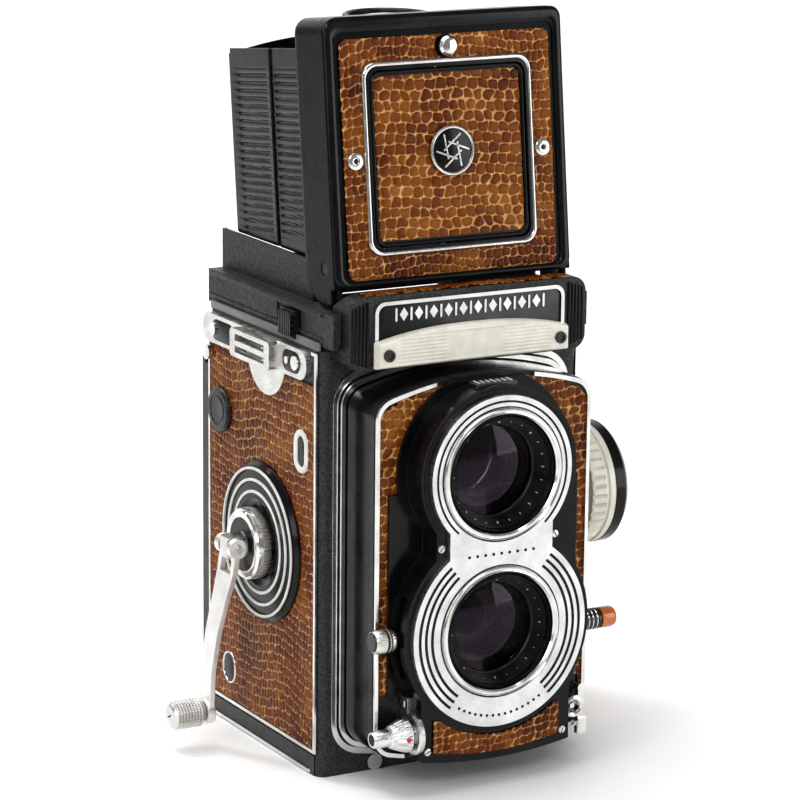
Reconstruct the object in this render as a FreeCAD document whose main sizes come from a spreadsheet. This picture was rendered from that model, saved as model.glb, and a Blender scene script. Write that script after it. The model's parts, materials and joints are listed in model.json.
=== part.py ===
"""Twin lens reflex camera for 6x6 roll film, as a parametric assembly.

Frame: +Z up, the lenses look along -Y, the winding crank is on the -X side.
The origin is the mouth of the tripod socket, in the plane of the base.
"""
import FreeCAD, Part
import math
import os
import re

import Sketcher
from FreeCAD import Placement, Rotation, Vector

doc = FreeCAD.newDocument("twin_lens_reflex")
sheet = doc.addObject("Spreadsheet::Sheet", "Dims")

DIMENSIONS = (
    # casing
    ("body_half", 39.0, "half the width of the casing"),
    ("body_front", -34.0, "plane of the casing's front face"),
    ("body_rear", 31.2, "rear edge of the casing's side walls"),
    ("body_high", 115.0, "height of the casing"),
    ("wall", 2.0, "casing wall"),
    ("sill", 5.8, "bottom edge of the side walls, above the door's tray"),
    ("case_round", 3.0, "vertical corner radius of the casing"),
    ("skin", 0.6, "thickness of the leather covering"),
    # lenses
    ("lens_gap", 42.0, "distance between the two lens axes"),
    ("take_high", 42.64, "height of the taking lens axis"),
    ("ring_radius", 15.8, "outer radius of both lens barrels"),
    ("glass_radius", 10.5, "radius of the front elements"),
    # front standard
    ("std_front", -50.9, "front plane of the moving standard"),
    ("std_half", 32.2, "half the width of the sleeve"),
    ("std_low_side", 10.6, "lower edge of the standard at its sides"),
    ("std_low_mid", 6.2, "lower edge of the standard in the middle"),
    ("std_high_side", 104.2, "upper edge of the standard at its sides"),
    ("std_high_mid", 109.6, "upper edge of the standard in the middle"),
    ("std_round", 6.0, "corner radius of the standard"),
    ("house_front", -59.6, "front plane of the black lens housing"),
    ("bezel_front", -61.2, "front plane of the bright bezel"),
    # hood
    ("ledge_low", 115.0, "underside of the hood base"),
    ("ledge_high", 125.4, "top of the hood base's ledge"),
    ("well_high", 136.2, "top of the hood base's raised wall"),
    ("lid_lean", 6.57, "backward lean of the open lid, degrees"),
    ("lid_half", 35.2, "half the width of the lid"),
    ("lid_round", 4.0, "corner radius of the lid's top"),
    ("front_glass", 12.5, "radius of each front element"),
    ("lid_tall", 69.4, "height of the lid's face"),
    ("lid_deep", 15.5, "depth of the lid's rim"),
    ("lid_sheet", 1.4, "thickness of the lid's sheet"),
    ("lid_foot_y", -34.87, "foot of the lid's face, along Y"),
    ("lid_foot_z", 131.06, "foot of the lid's face, height"),
    ("pivot_deep", 5.3, "lid pivot behind the lid's face"),
    ("pivot_up", 5.4, "lid pivot above the foot of the lid's face"),
    ("lid_pivot_y", -28.99, "lid pivot, along Y"),
    ("lid_pivot_z", 135.82, "lid pivot height"),
    ("pivot_round", 9.9, "radius of the lid's rounded heel about its pivot"),
    ("wing_wide", 24.5, "distance between the hinges of a folding side wing"),
    ("wing_low", 6.4, "lower front corner of the wings, above the foot of the lid's face"),
    ("wing_slant", 0.115, "rise of the wings' lower edge, per mm of depth"),
    ("wing_high", 61.5, "upper edge of the wings, above the foot of the lid's face"),
    ("wing_thick", 0.8, "thickness of the side wings"),
    ("wing_hinge", 31.6, "distance of the outer wing hinges from the middle"),
    ("wing_offset", 0.6, "how far the middle hinges stand outside the outer ones"),
    ("wing_front", 12.0, "front wing hinge behind the lid's face"),
    ("loupe_deep", 6.5, "loupe hinge behind the lid's face"),
    ("loupe_up", 64.4, "loupe hinge above the foot of the lid's face"),
    ("loupe_raise", 97.0, "angle of the raised loupe from its stowed place, degrees"),
    ("loupe_radius", 12.3, "outer radius of the loupe's ring"),
    ("loupe_reach", 23.0, "loupe hinge to the centre of its lens"),
    # crank and focus
    ("crank_y", -3.0, "crank axis, along Y"),
    ("crank_z", 57.4, "crank axis height"),
    ("disc_radius", 21.8, "radius of the crank's escutcheon"),
    ("hub_radius", 9.5, "radius of the crank hub"),
    ("arm_out", 10.2, "crank arm's pivot outside the casing"),
    ("focus_y", -24.7, "focus axis, along Y"),
    ("focus_z", 69.0, "focus axis height"),
    ("knob_radius", 16.7, "radius of the focus knob"),
    # film
    ("gate_y", 26.5, "plane of the film gate"),
    ("gate_half", 28.0, "half the side of the picture"),
    ("spool_y", 20.2, "take-up spool axis, along Y"),
    ("spool_z", 86.2, "take-up spool axis height"),
    ("flange_radius", 12.5, "spool flange radius"),
    ("spool_core", 5.9, "spool core radius"),
    # door
    ("hinge_y", 34.0, "door hinge axis, along Y"),
    ("hinge_z", 104.3, "door hinge axis height"),
    ("pin_radius", 0.9, "door hinge pin radius"),
    ("knuckle", 1.7, "door hinge knuckle radius"),
    ("door_out", 35.0, "outer face of the door's back wall"),
    ("socket_radius", 3.18, "wall radius of the 1/4 inch tripod socket"),
    ("lever_y", -55.2, "plane of the shutter's levers"),
    ("lever_swing", 18.0, "swing of each lever to either side, degrees"),
    ("lever_tilt", 6.0, "how far the exposure lever rests below the horizontal, degrees"),
    ("release_y", -56.5, "shutter release axis, along Y"),
    ("release_z", 16.8, "shutter release axis height"),
)
for row, (alias, size, note) in enumerate(DIMENSIONS, start=1):
    sheet.set(f"A{row}", alias)
    sheet.set(f"B{row}", str(size))
    sheet.setAlias(f"B{row}", alias)
    sheet.set(f"C{row}", note)
doc.recompute()

ALIASES = {alias for alias, size, note in DIMENSIONS}
AXES = {
    "+X": Rotation(Vector(0, 0, 1), Vector(1, 0, 0)),
    "-X": Rotation(Vector(0, 0, 1), Vector(-1, 0, 0)),
    "+Y": Rotation(Vector(0, 0, 1), Vector(0, 1, 0)),
    "-Y": Rotation(Vector(0, 0, 1), Vector(0, -1, 0)),
    "+Z": Rotation(),
}
SUBPARTS = []


def dim(alias):
    """A driving dimension, read from the sheet."""
    return float(getattr(sheet, alias))


def bound(text):
    """An expression's text, with each alias written as a cell of the sheet."""
    return re.sub(
        r"[a-z_]+", lambda m: "Dims." + m[0] if m[0] in ALIASES else m[0], str(text)
    )


def bind(item, **sizes):
    """Bind properties of a document object to the sheet."""
    for name, text in sizes.items():
        item.setExpression(name, bound(text))


def put(item, at, axis="+Z"):
    """Place an object at bound coordinates, with its local Z along an axis."""
    item.Placement = Placement(Vector(), AXES[axis])
    for letter, text in zip("xyz", at):
        item.setExpression(f"Placement.Base.{letter}", bound(text))
    return item


def subpart(item, label):
    """Register a finished sub-part; its label names its file."""
    item.Label = label
    SUBPARTS.append(item)
    return item


def block(name, low, size):
    """A box from its low corner and its size."""
    item = doc.addObject("Part::Box", name)
    bind(item, Length=size[0], Width=size[1], Height=size[2])
    return put(item, low)


def rod(name, radius, length, at, axis="+Z"):
    """A cylinder that starts at a point and runs along an axis."""
    item = doc.addObject("Part::Cylinder", name)
    bind(item, Radius=radius, Height=length)
    return put(item, at, axis)


def join(name, *pieces):
    item = doc.addObject("Part::MultiFuse", name)
    item.Shapes = list(pieces)
    item.Refine = True
    return item


def cut(name, base, *tools):
    item = doc.addObject("Part::Cut", name)
    item.Base = base
    item.Tool = tools[0] if len(tools) == 1 else join(name + "_tools", *tools)
    item.Refine = True
    return item


def common(name, *pieces):
    """The space that all the pieces share."""
    item = doc.addObject("Part::MultiCommon", name)
    item.Shapes = list(pieces)
    return item


def group(name, *pieces):
    """Separate solids that share one node."""
    item = doc.addObject("Part::Compound", name)
    item.Links = list(pieces)
    return item


def body_of(name):
    return doc.addObject("PartDesign::Body", name)


def sketch_on(body, role):
    plane = next(f for f in body.Origin.OriginFeatures if f.Role == role)
    sketch = body.newObject("Sketcher::SketchObject", body.Name + "_sketch")
    sketch.AttachmentSupport = [(plane, "")]
    sketch.MapMode = "FlatFace"
    return sketch


def number(text):
    """The value of a bound expression, through a scratch cell of the sheet."""
    sheet.set("F1", "=" + str(text))
    sheet.recompute()
    return float(sheet.F1) if not hasattr(sheet.F1, "Value") else sheet.F1.Value


def outline(sketch, points):
    """A closed outline of straight lines through bound points."""
    corners = [Vector(number(u), number(v), 0) for u, v in points]
    count = len(corners)
    for k in range(count):
        sketch.addGeometry(Part.LineSegment(corners[k], corners[(k + 1) % count]), False)
    for k in range(count):
        sketch.addConstraint(Sketcher.Constraint("Coincident", k, 2, (k + 1) % count, 1))
    for k, (u, v) in enumerate(points):
        x_index = sketch.addConstraint(
            Sketcher.Constraint("DistanceX", -1, 1, k, 1, corners[k].x)
        )
        sketch.setExpression(f"Constraints[{x_index}]", bound(u))
        y_index = sketch.addConstraint(
            Sketcher.Constraint("DistanceY", -1, 1, k, 1, corners[k].y)
        )
        sketch.setExpression(f"Constraints[{y_index}]", bound(v))


def turned(name, profile, at, axis="+Z"):
    """A turned piece: (radius, distance along the axis) points, revolved."""
    body = body_of(name)
    sketch = sketch_on(body, "XZ_Plane")
    outline(sketch, profile)
    turn = body.newObject("PartDesign::Revolution", name + "_turn")
    turn.Profile = sketch
    turn.ReferenceAxis = (sketch, ["V_Axis"])
    turn.Angle = 360
    return put(body, at, axis)


def soft_block(name, low, size, radius, along="z"):
    """A box whose edges along one axis are rounded."""
    body = body_of(name)
    box = body.newObject("PartDesign::AdditiveBox", name + "_box")
    bind(box, Length=size[0], Width=size[1], Height=size[2])
    doc.recompute()
    edges = [
        f"Edge{k}"
        for k, edge in enumerate(box.Shape.Edges, start=1)
        if abs(getattr(edge.tangentAt(edge.FirstParameter), along)) > 0.99
    ]
    fillet = body.newObject("PartDesign::Fillet", name + "_fillet")
    fillet.Base = (box, edges)
    bind(fillet, Radius=radius)
    return put(body, low)


def arched(name, half, low_side, low_mid, high_side, high_mid, radius, front, depth):
    """A plate facing -Y whose top and bottom edges are shallow arches."""
    body = body_of(name)
    sketch = sketch_on(body, "XZ_Plane")
    w, a, b, c, d = (number(text) for text in (half, low_side, low_mid, high_side, high_mid))
    corners = [Vector(-w, a, 0), Vector(w, a, 0), Vector(w, c, 0), Vector(-w, c, 0)]
    sketch.addGeometry(Part.Arc(corners[0], Vector(0, b, 0), corners[1]), False)
    sketch.addGeometry(Part.LineSegment(corners[1], corners[2]), False)
    sketch.addGeometry(Part.Arc(corners[2], Vector(0, d, 0), corners[3]), False)
    sketch.addGeometry(Part.LineSegment(corners[3], corners[0]), False)
    # an arc's own start is its clockwise end, so the bottom arc runs left to right
    # and the top arc right to left, both counter-clockwise
    for k in range(4):
        sketch.addConstraint(Sketcher.Constraint("Coincident", k, 2, (k + 1) % 4, 1))
    for k, (u, v) in enumerate(
        ((f"-({half})", low_side), (half, low_side), (half, high_side), (f"-({half})", high_side))
    ):
        for kind, text in (("DistanceX", u), ("DistanceY", v)):
            index = sketch.addConstraint(
                Sketcher.Constraint(kind, -1, 1, k, 1, number(text))
            )
            sketch.setExpression(f"Constraints[{index}]", bound(text))
    for arc, side, mid in ((0, low_side, low_mid), (2, high_side, high_mid)):
        rise = f"abs(({side}) - ({mid}))"
        text = f"(({half}) * ({half}) + {rise} * {rise}) / (2 * {rise})"
        index = sketch.addConstraint(Sketcher.Constraint("Radius", arc, number(text)))
        sketch.setExpression(f"Constraints[{index}]", bound(text))
    pad = body.newObject("PartDesign::Pad", name + "_pad")
    pad.Profile = sketch
    bind(pad, Length=depth)
    doc.recompute()
    edges = [
        f"Edge{k}"
        for k, edge in enumerate(pad.Shape.Edges, start=1)
        if abs(edge.tangentAt(edge.FirstParameter).y) > 0.99
    ]
    fillet = body.newObject("PartDesign::Fillet", name + "_fillet")
    fillet.Base = (pad, edges)
    bind(fillet, Radius=radius)
    # the sketch's normal is -Y, so the pad grows forward from its back plane
    return put(body, ("0", f"({front}) + ({depth})", "0"))


def arched_ring(name, inset, rim, grow, front, depth):
    """A ring that follows the standard's outline, inset from it and rim wide."""
    def layer(part, off):
        return arched(
            part,
            f"std_half + {off}",
            f"std_low_side - {off}",
            f"std_low_mid - {off}",
            f"std_high_side + {off}",
            f"std_high_mid + {off}",
            f"std_round + {off}",
            front,
            depth,
        )
    outer = layer(name + "_outer", inset + grow)
    inner = layer(name + "_inner", inset + grow - rim)
    return cut(name, outer, inner)


# ---------------------------------------------------------------- casing

def casing():
    shell = soft_block(
        "casing_block",
        ("-body_half", "body_front", "0"),
        ("2 * body_half", "body_rear - body_front", "body_high"),
        "case_round",
    )
    inner_y = "body_front + wall"
    hollow = block(
        "casing_hollow",
        ("-body_half + wall", inner_y, "-1"),
        ("2 * (body_half - wall)", "body_rear - body_front + 2", "body_high - wall + 1"),
    )
    door_room = block(
        "casing_door_room",
        ("-body_half - 1", inner_y, "-1"),
        ("2 * body_half + 2", "body_rear - body_front + 2", "sill + 1"),
    )
    screen_hole = block(
        "casing_screen_hole", ("-34", "-31", "body_high - wall - 1"), ("68", "61", "wall + 2")
    )
    lens_hole = arched(
        "casing_lens_hole",
        "std_half + 0.4", "std_low_side - 0.4", "std_low_mid - 0.4",
        "std_high_side + 0.4", "std_high_mid + 0.4", "std_round",
        "body_front - 1", "wall + 2",
    )
    crank_hole = rod(
        "casing_crank_hole", "hub_radius - 2", "wall + 2",
        ("-body_half - 1", "crank_y", "crank_z"), "+X",
    )
    focus_hole = rod(
        "casing_focus_hole", "4.2", "wall + 2", ("body_half - wall - 1", "focus_y", "focus_z"), "+X"
    )
    window_hole = block(
        "casing_window_hole", ("-body_half - 1", "-27.2", "83"), ("wall + 2", "4.8", "8")
    )
    walls = cut(
        "casing_walls", shell, hollow, door_room, screen_hole, lens_hole,
        crank_hole, focus_hole, window_hole,
    )
    # the fixed strip of back wall above the door, with the hinge's leaf
    lintel = block(
        "casing_lintel",
        ("-body_half + wall", "body_rear - wall", "hinge_z - 4.5"),
        ("2 * (body_half - wall)", "wall", "body_high - hinge_z + 4.5"),
    )
    leaf = block(
        "casing_leaf", ("-24", "body_rear - 0.2", "hinge_z - 0.6"), ("48", "hinge_y - body_rear + 0.2", "1.2")
    )
    knuckle = rod("casing_knuckle", "knuckle", "48", ("-24", "hinge_y", "hinge_z"), "+X")
    bore = rod("casing_knuckle_bore", "pin_radius", "50", ("-25", "hinge_y", "hinge_z"), "+X")
    solid = join("casing_solid", walls, lintel, leaf, knuckle)
    subpart(cut("casing", solid, bore), "body_casing")


def side_covering():
    """Leather panels on both sides, and the bright beads that frame them."""
    panels, beads = [], []
    for tag, side in (("left", -1), ("right", 1)):
        at_x = "-body_half - skin" if side < 0 else "body_half"
        sheet_block = block(
            f"leather_{tag}_sheet", (at_x, "body_front + 2.2", "sill + 1.6"),
            ("skin", "body_rear - body_front - 4.2", "body_high - sill - 3"),
        )
        holes = []
        if side < 0:
            holes.append(rod("leather_disc_hole", "disc_radius + 0.1", "4",
                             ("-body_half - 2", "crank_y", "crank_z"), "+X"))
            holes.append(block("leather_window_hole", ("-body_half - 2", "-29.3", "80.5"),
                               ("4", "9", "13")))
            holes.append(rod("leather_cap_hole", "6.4", "4", ("-body_half - 2", "22.4", "88.4"), "+X"))
        else:
            holes.append(rod("leather_knob_hole", "knob_radius - 3", "4",
                             ("body_half - 1", "focus_y", "focus_z"), "+X"))
        holes.append(block(f"leather_{tag}_lug_hole", (f"{side} * body_half - 2", "-30.2", "105.8"),
                           ("4", "62.6", "9.4")))
        holes.append(rod(f"leather_{tag}_guard_hole", "11.4", "4",
                         (f"{side} * body_half - 2", "-5", "109.2"), "+X"))
        panels.append(cut(f"leather_{tag}", sheet_block, *holes))
        outer = block(
            f"bead_{tag}_outer", (at_x, "body_front + 1.2", "sill + 0.6"),
            ("skin", "body_rear - body_front - 2.2", "body_high - sill - 1"),
        )
        inner = block(
            f"bead_{tag}_inner", (at_x, "body_front + 2.1", "sill + 1.5"),
            ("skin", "body_rear - body_front - 4", "body_high - sill - 2.8"),
        )
        lug_gap = block(f"bead_{tag}_gap", (f"{side} * body_half - 2", "-30.2", "105.8"), ("4", "64", "9.4"))
        beads.append(cut(f"bead_{tag}", outer, inner, lug_gap))
    subpart(group("side_leather", *panels), "side_leather")
    subpart(group("side_trim", *beads), "side_trim")


def front_trim():
    """Two raised bright frames around the opening for the lens sleeve."""
    outer = arched_ring("trim_outer", 3.3, 1.4, 0, "body_front - 0.9", "0.9")
    inner = arched_ring("trim_inner", 1.5, 1.2, 0, "body_front - 2.2", "2.2")
    clip = block("trim_clip", ("-50", "body_front - 5", "110.8"), ("100", "10", "10"))
    subpart(group("front_trim", cut("trim_a", outer, clip), cut("trim_b", inner, clip)), "front_trim")


def strap_fittings():
    """Lug bar, loop bracket and guard plate on each side, and their screws."""
    bars, screws = [], []
    for tag, side, axis in (("left", -1, "-X"), ("right", 1, "+X")):
        face = f"{side} * body_half"
        bar_x = "-body_half - 1.6" if side < 0 else "body_half"
        bar = soft_block(f"lug_bar_{tag}", (bar_x, "-29.4", "106.4"), ("1.6", "60.9", "8"), "3.9", "x")
        loop_x = "-body_half - 4.6" if side < 0 else "body_half + 1.6"
        loop = soft_block(f"lug_loop_{tag}", (loop_x, "-14", "106.6"), ("3", "23", "7.6"), "1.2", "x")
        slots = [
            block(f"lug_slot_{tag}_{k}", (f"{side} * (body_half + 3.4) - 2.5", "-11", f"{107.9 + 3.2 * k}"),
                  ("5", "17", "1.8"))
            for k in range(2)
        ]
        tunnel = block(f"lug_tunnel_{tag}", (f"{side} * (body_half + 2.3) - 0.7", "-12.4", "105"), ("1.4", "19.8", "10"))
        bars.append(cut(f"lug_{tag}", join(f"lug_{tag}_solid", bar, loop), *slots, tunnel))
        disc = rod(f"guard_{tag}_disc", "11", "0.8", (face, "-5", "109.2"), axis)
        upper = block(f"guard_{tag}_upper", (f"{side} * body_half - 2", "-17", "106.4"), ("4", "24", "16"))
        bars.append(cut(f"guard_{tag}", disc, upper))
        for k, (y, radius) in enumerate((("24.6", "1.9"), ("-23.7", "1.9"), ("-19.2", "1.0"))):
            screws.append(rod(f"lug_screw_{tag}_{k}", radius, "0.7", (f"{side} * (body_half + 1.6)", y, "110.5"), axis))
        screws.append(rod(f"stud_{tag}", "2.1", "1.4", (f"{side} * (body_half + skin)", "29.0", "103.2"), axis))
    screws.append(rod("base_ring_screw", "2.2", "0.9", ("-22.4", "body_front", "2.4"), "-Y"))
    screws.append(rod("hinge_pin", "pin_radius", "64", ("-32", "hinge_y", "hinge_z"), "+X"))
    subpart(group("strap_lugs", *bars), "strap_lugs")
    subpart(group("case_screws", *screws), "case_screws")


def side_fittings():
    """Crank escutcheon, counter window and spool cap on the -X side."""
    plate = turned(
        "escutcheon",
        (("hub_radius + 0.3", "0"), ("disc_radius", "0"), ("disc_radius", "1.0"),
         ("disc_radius - 1", "2.0"), ("hub_radius + 2.4", "2.6"), ("hub_radius + 0.3", "1.6")),
        ("-body_half", "crank_y", "crank_z"), "-X",
    )
    subpart(plate, "crank_escutcheon")
    window = soft_block("window_frame_block", ("-body_half - 1.1", "-28.7", "81.1"), ("1.1", "7.8", "11.8"), "3.8", "x")
    pane = soft_block("window_pane_room", ("-body_half - 1.2", "-27.3", "82.5"), ("0.8", "5", "9"), "2.4", "x")
    subpart(cut("window", window, pane), "counter_window")
    cap = turned(
        "cap", (("0", "0"), ("6.3", "0"), ("6.3", "0.8"), ("5.5", "1.5"), ("0", "1.7")),
        ("-body_half", "22.4", "88.4"), "-X",
    )
    subpart(cap, "spool_cap")


# ---------------------------------------------------------------- inside

def optics_inside():
    """Mirror, focusing screen with its frame, and the light baffle with film gate."""
    mirror = doc.addObject("Part::Box", "mirror_glass")
    bind(mirror, Length=52, Width=56, Height=1.2)
    # the glass faces the lens and the screen, at 45 degrees
    mirror.Placement = Placement(Vector(-26, -23.9, 62.9), Rotation(Vector(1, 0, 0), 45))
    subpart(mirror, "mirror")
    screen = block("screen_glass", ("-30", "-30.4", "105"), ("60", "59", "1.6"))
    subpart(screen, "focusing_screen")
    rim = block("screen_rim_outer", ("-body_half + wall", "body_front + wall", "103"),
                ("2 * (body_half - wall)", "61.2", "4.4"))
    seat = block("screen_rim_seat", ("-30", "-30.4", "105"), ("60", "59", "4"))
    sight = block("screen_rim_sight", ("-28", "-28.4", "100"), ("56", "55", "8"))
    subpart(cut("screen_rim", rim, seat, sight), "screen_frame")

    def square(half, y):
        """A closed square wire facing along Y, centred on the taking axis."""
        z = dim("take_high")
        corners = [
            Vector(-half, y, z - half), Vector(half, y, z - half),
            Vector(half, y, z + half), Vector(-half, y, z + half),
        ]
        return Part.makePolygon(corners + corners[:1])

    gate, half = dim("gate_y"), dim("gate_half")
    near, mid = -31.5, -20.0
    throat, paper = 13.0, 0.9
    outer = Part.makeLoft([square(throat + paper, near), square(throat + paper, mid)], True, True)
    outer = outer.fuse(Part.makeLoft([square(throat + paper, mid), square(half + paper, gate)], True, True))
    inner = Part.makeLoft([square(throat, near), square(throat, mid)], True, True)
    inner = inner.fuse(Part.makeLoft([square(throat, mid), square(half, gate)], True, True))
    frame = Part.makeBox(74.0, 1.6, 2 * half + 6, Vector(-37, gate - 1.6, dim("take_high") - half - 3))
    rails = [
        Part.makeBox(2.0, 0.8, 2 * half + 6, Vector(x, gate, dim("take_high") - half - 3))
        for x in (-32.5, 30.5)
    ]
    window = Part.makeBox(2 * half, 4, 2 * half, Vector(-half, gate - 2.5, dim("take_high") - half))
    baffle = doc.addObject("Part::Feature", "baffle")
    baffle.Shape = outer.fuse([frame] + rails).cut(inner).cut(window).removeSplitter()
    subpart(baffle, "light_baffle")


def spool():
    """The empty film spool at the top rear, which the crank winds."""
    flange = "flange_radius"
    body = turned(
        "spool_turned",
        (("0", "-32.4"), (flange, "-32.4"), (flange, "-31.4"), ("spool_core", "-31.0"),
         ("spool_core", "31.0"), (flange, "31.4"), (flange, "32.4"), ("0", "32.4")),
        ("0", "spool_y", "spool_z"), "+X",
    )
    slot = block("spool_slot", ("-28", "spool_y - 0.6", "spool_z - 8"), ("56", "1.2", "16"))
    key = block("spool_key", ("-33", "spool_y - 0.8", "spool_z - 3.2"), ("3", "1.6", "6.4"))
    subpart(cut("spool", body, slot, key), "takeup_spool")


# ---------------------------------------------------------------- door

def door():
    """The L-shaped door: back wall and base in one, hinged at the top rear."""
    back = block("door_back", ("-body_half", "door_out - 1.8", "0"), ("2 * body_half", "1.8", "hinge_z - 2"))
    tray = block("door_tray", ("-body_half", "body_front + wall + 0.3", "0"),
                 ("2 * body_half", "door_out - body_front - wall - 0.3", "1.6"))
    sides = [
        block(f"door_side_{tag}", (x, "body_front + wall + 0.3", "0"),
              ("1.6", "door_out - body_front - wall - 0.3", "sill - 0.3"))
        for tag, x in (("left", "-body_half"), ("right", "body_half - 1.6"))
    ]
    edges = [
        block(f"door_edge_{tag}", (x, "body_rear + 0.3", "0"),
              ("1.6", "door_out - body_rear - 0.3", "hinge_z - 5"))
        for tag, x in (("left", "-body_half"), ("right", "body_half - 1.6"))
    ]
    lobes = []
    bores = []
    for tag, x in (("left", "-31.5"), ("right", "24.5")):
        lobes.append(rod(f"door_knuckle_{tag}", "knuckle", "7", (x, "hinge_y", "hinge_z"), "+X"))
        lobes.append(block(f"door_strap_{tag}", (x, "hinge_y - 0.5", "hinge_z - 3"), ("7", "1.4", "3")))
        bores.append(rod(f"door_bore_{tag}", "pin_radius + 0.05", "9", (f"({x}) - 1", "hinge_y", "hinge_z"), "+X"))
    bores.append(rod("door_socket_hole", "6.2", "4", ("0", "0", "-1")))
    solid = join("door_solid", back, tray, *sides, *edges, *lobes)
    subpart(cut("door", solid, *bores), "back_door")

    bush = turned(
        "bush",
        (("socket_radius", "0"), ("6.1", "0"), ("6.1", "1.6"), ("8", "1.6"), ("8", "2.8"),
         ("5", "3.4"), ("5", "6"), ("socket_radius", "6")),
        ("0", "0", "0"),
    )
    subpart(bush, "tripod_bush")
    plate = block("pressure_block", ("-29.6", "gate_y + 1.4", "take_high - 30"), ("59.2", "1.4", "60"))
    springs = [
        block(f"pressure_spring_{k}", (f"{x}", "gate_y + 2.8", "take_high - 20"),
              ("5", "door_out - 1.8 - gate_y - 2.8", "40"))
        for k, x in enumerate((-16, 11))
    ]
    subpart(join("pressure", plate, *springs), "pressure_plate")
    catch = soft_block("catch_block", ("-3.4", "body_front - 1.6", "0.3"), ("9.6", "1.4", "2.4"), "1.1", "y")
    subpart(catch, "base_catch")


# ---------------------------------------------------------------- standard

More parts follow.
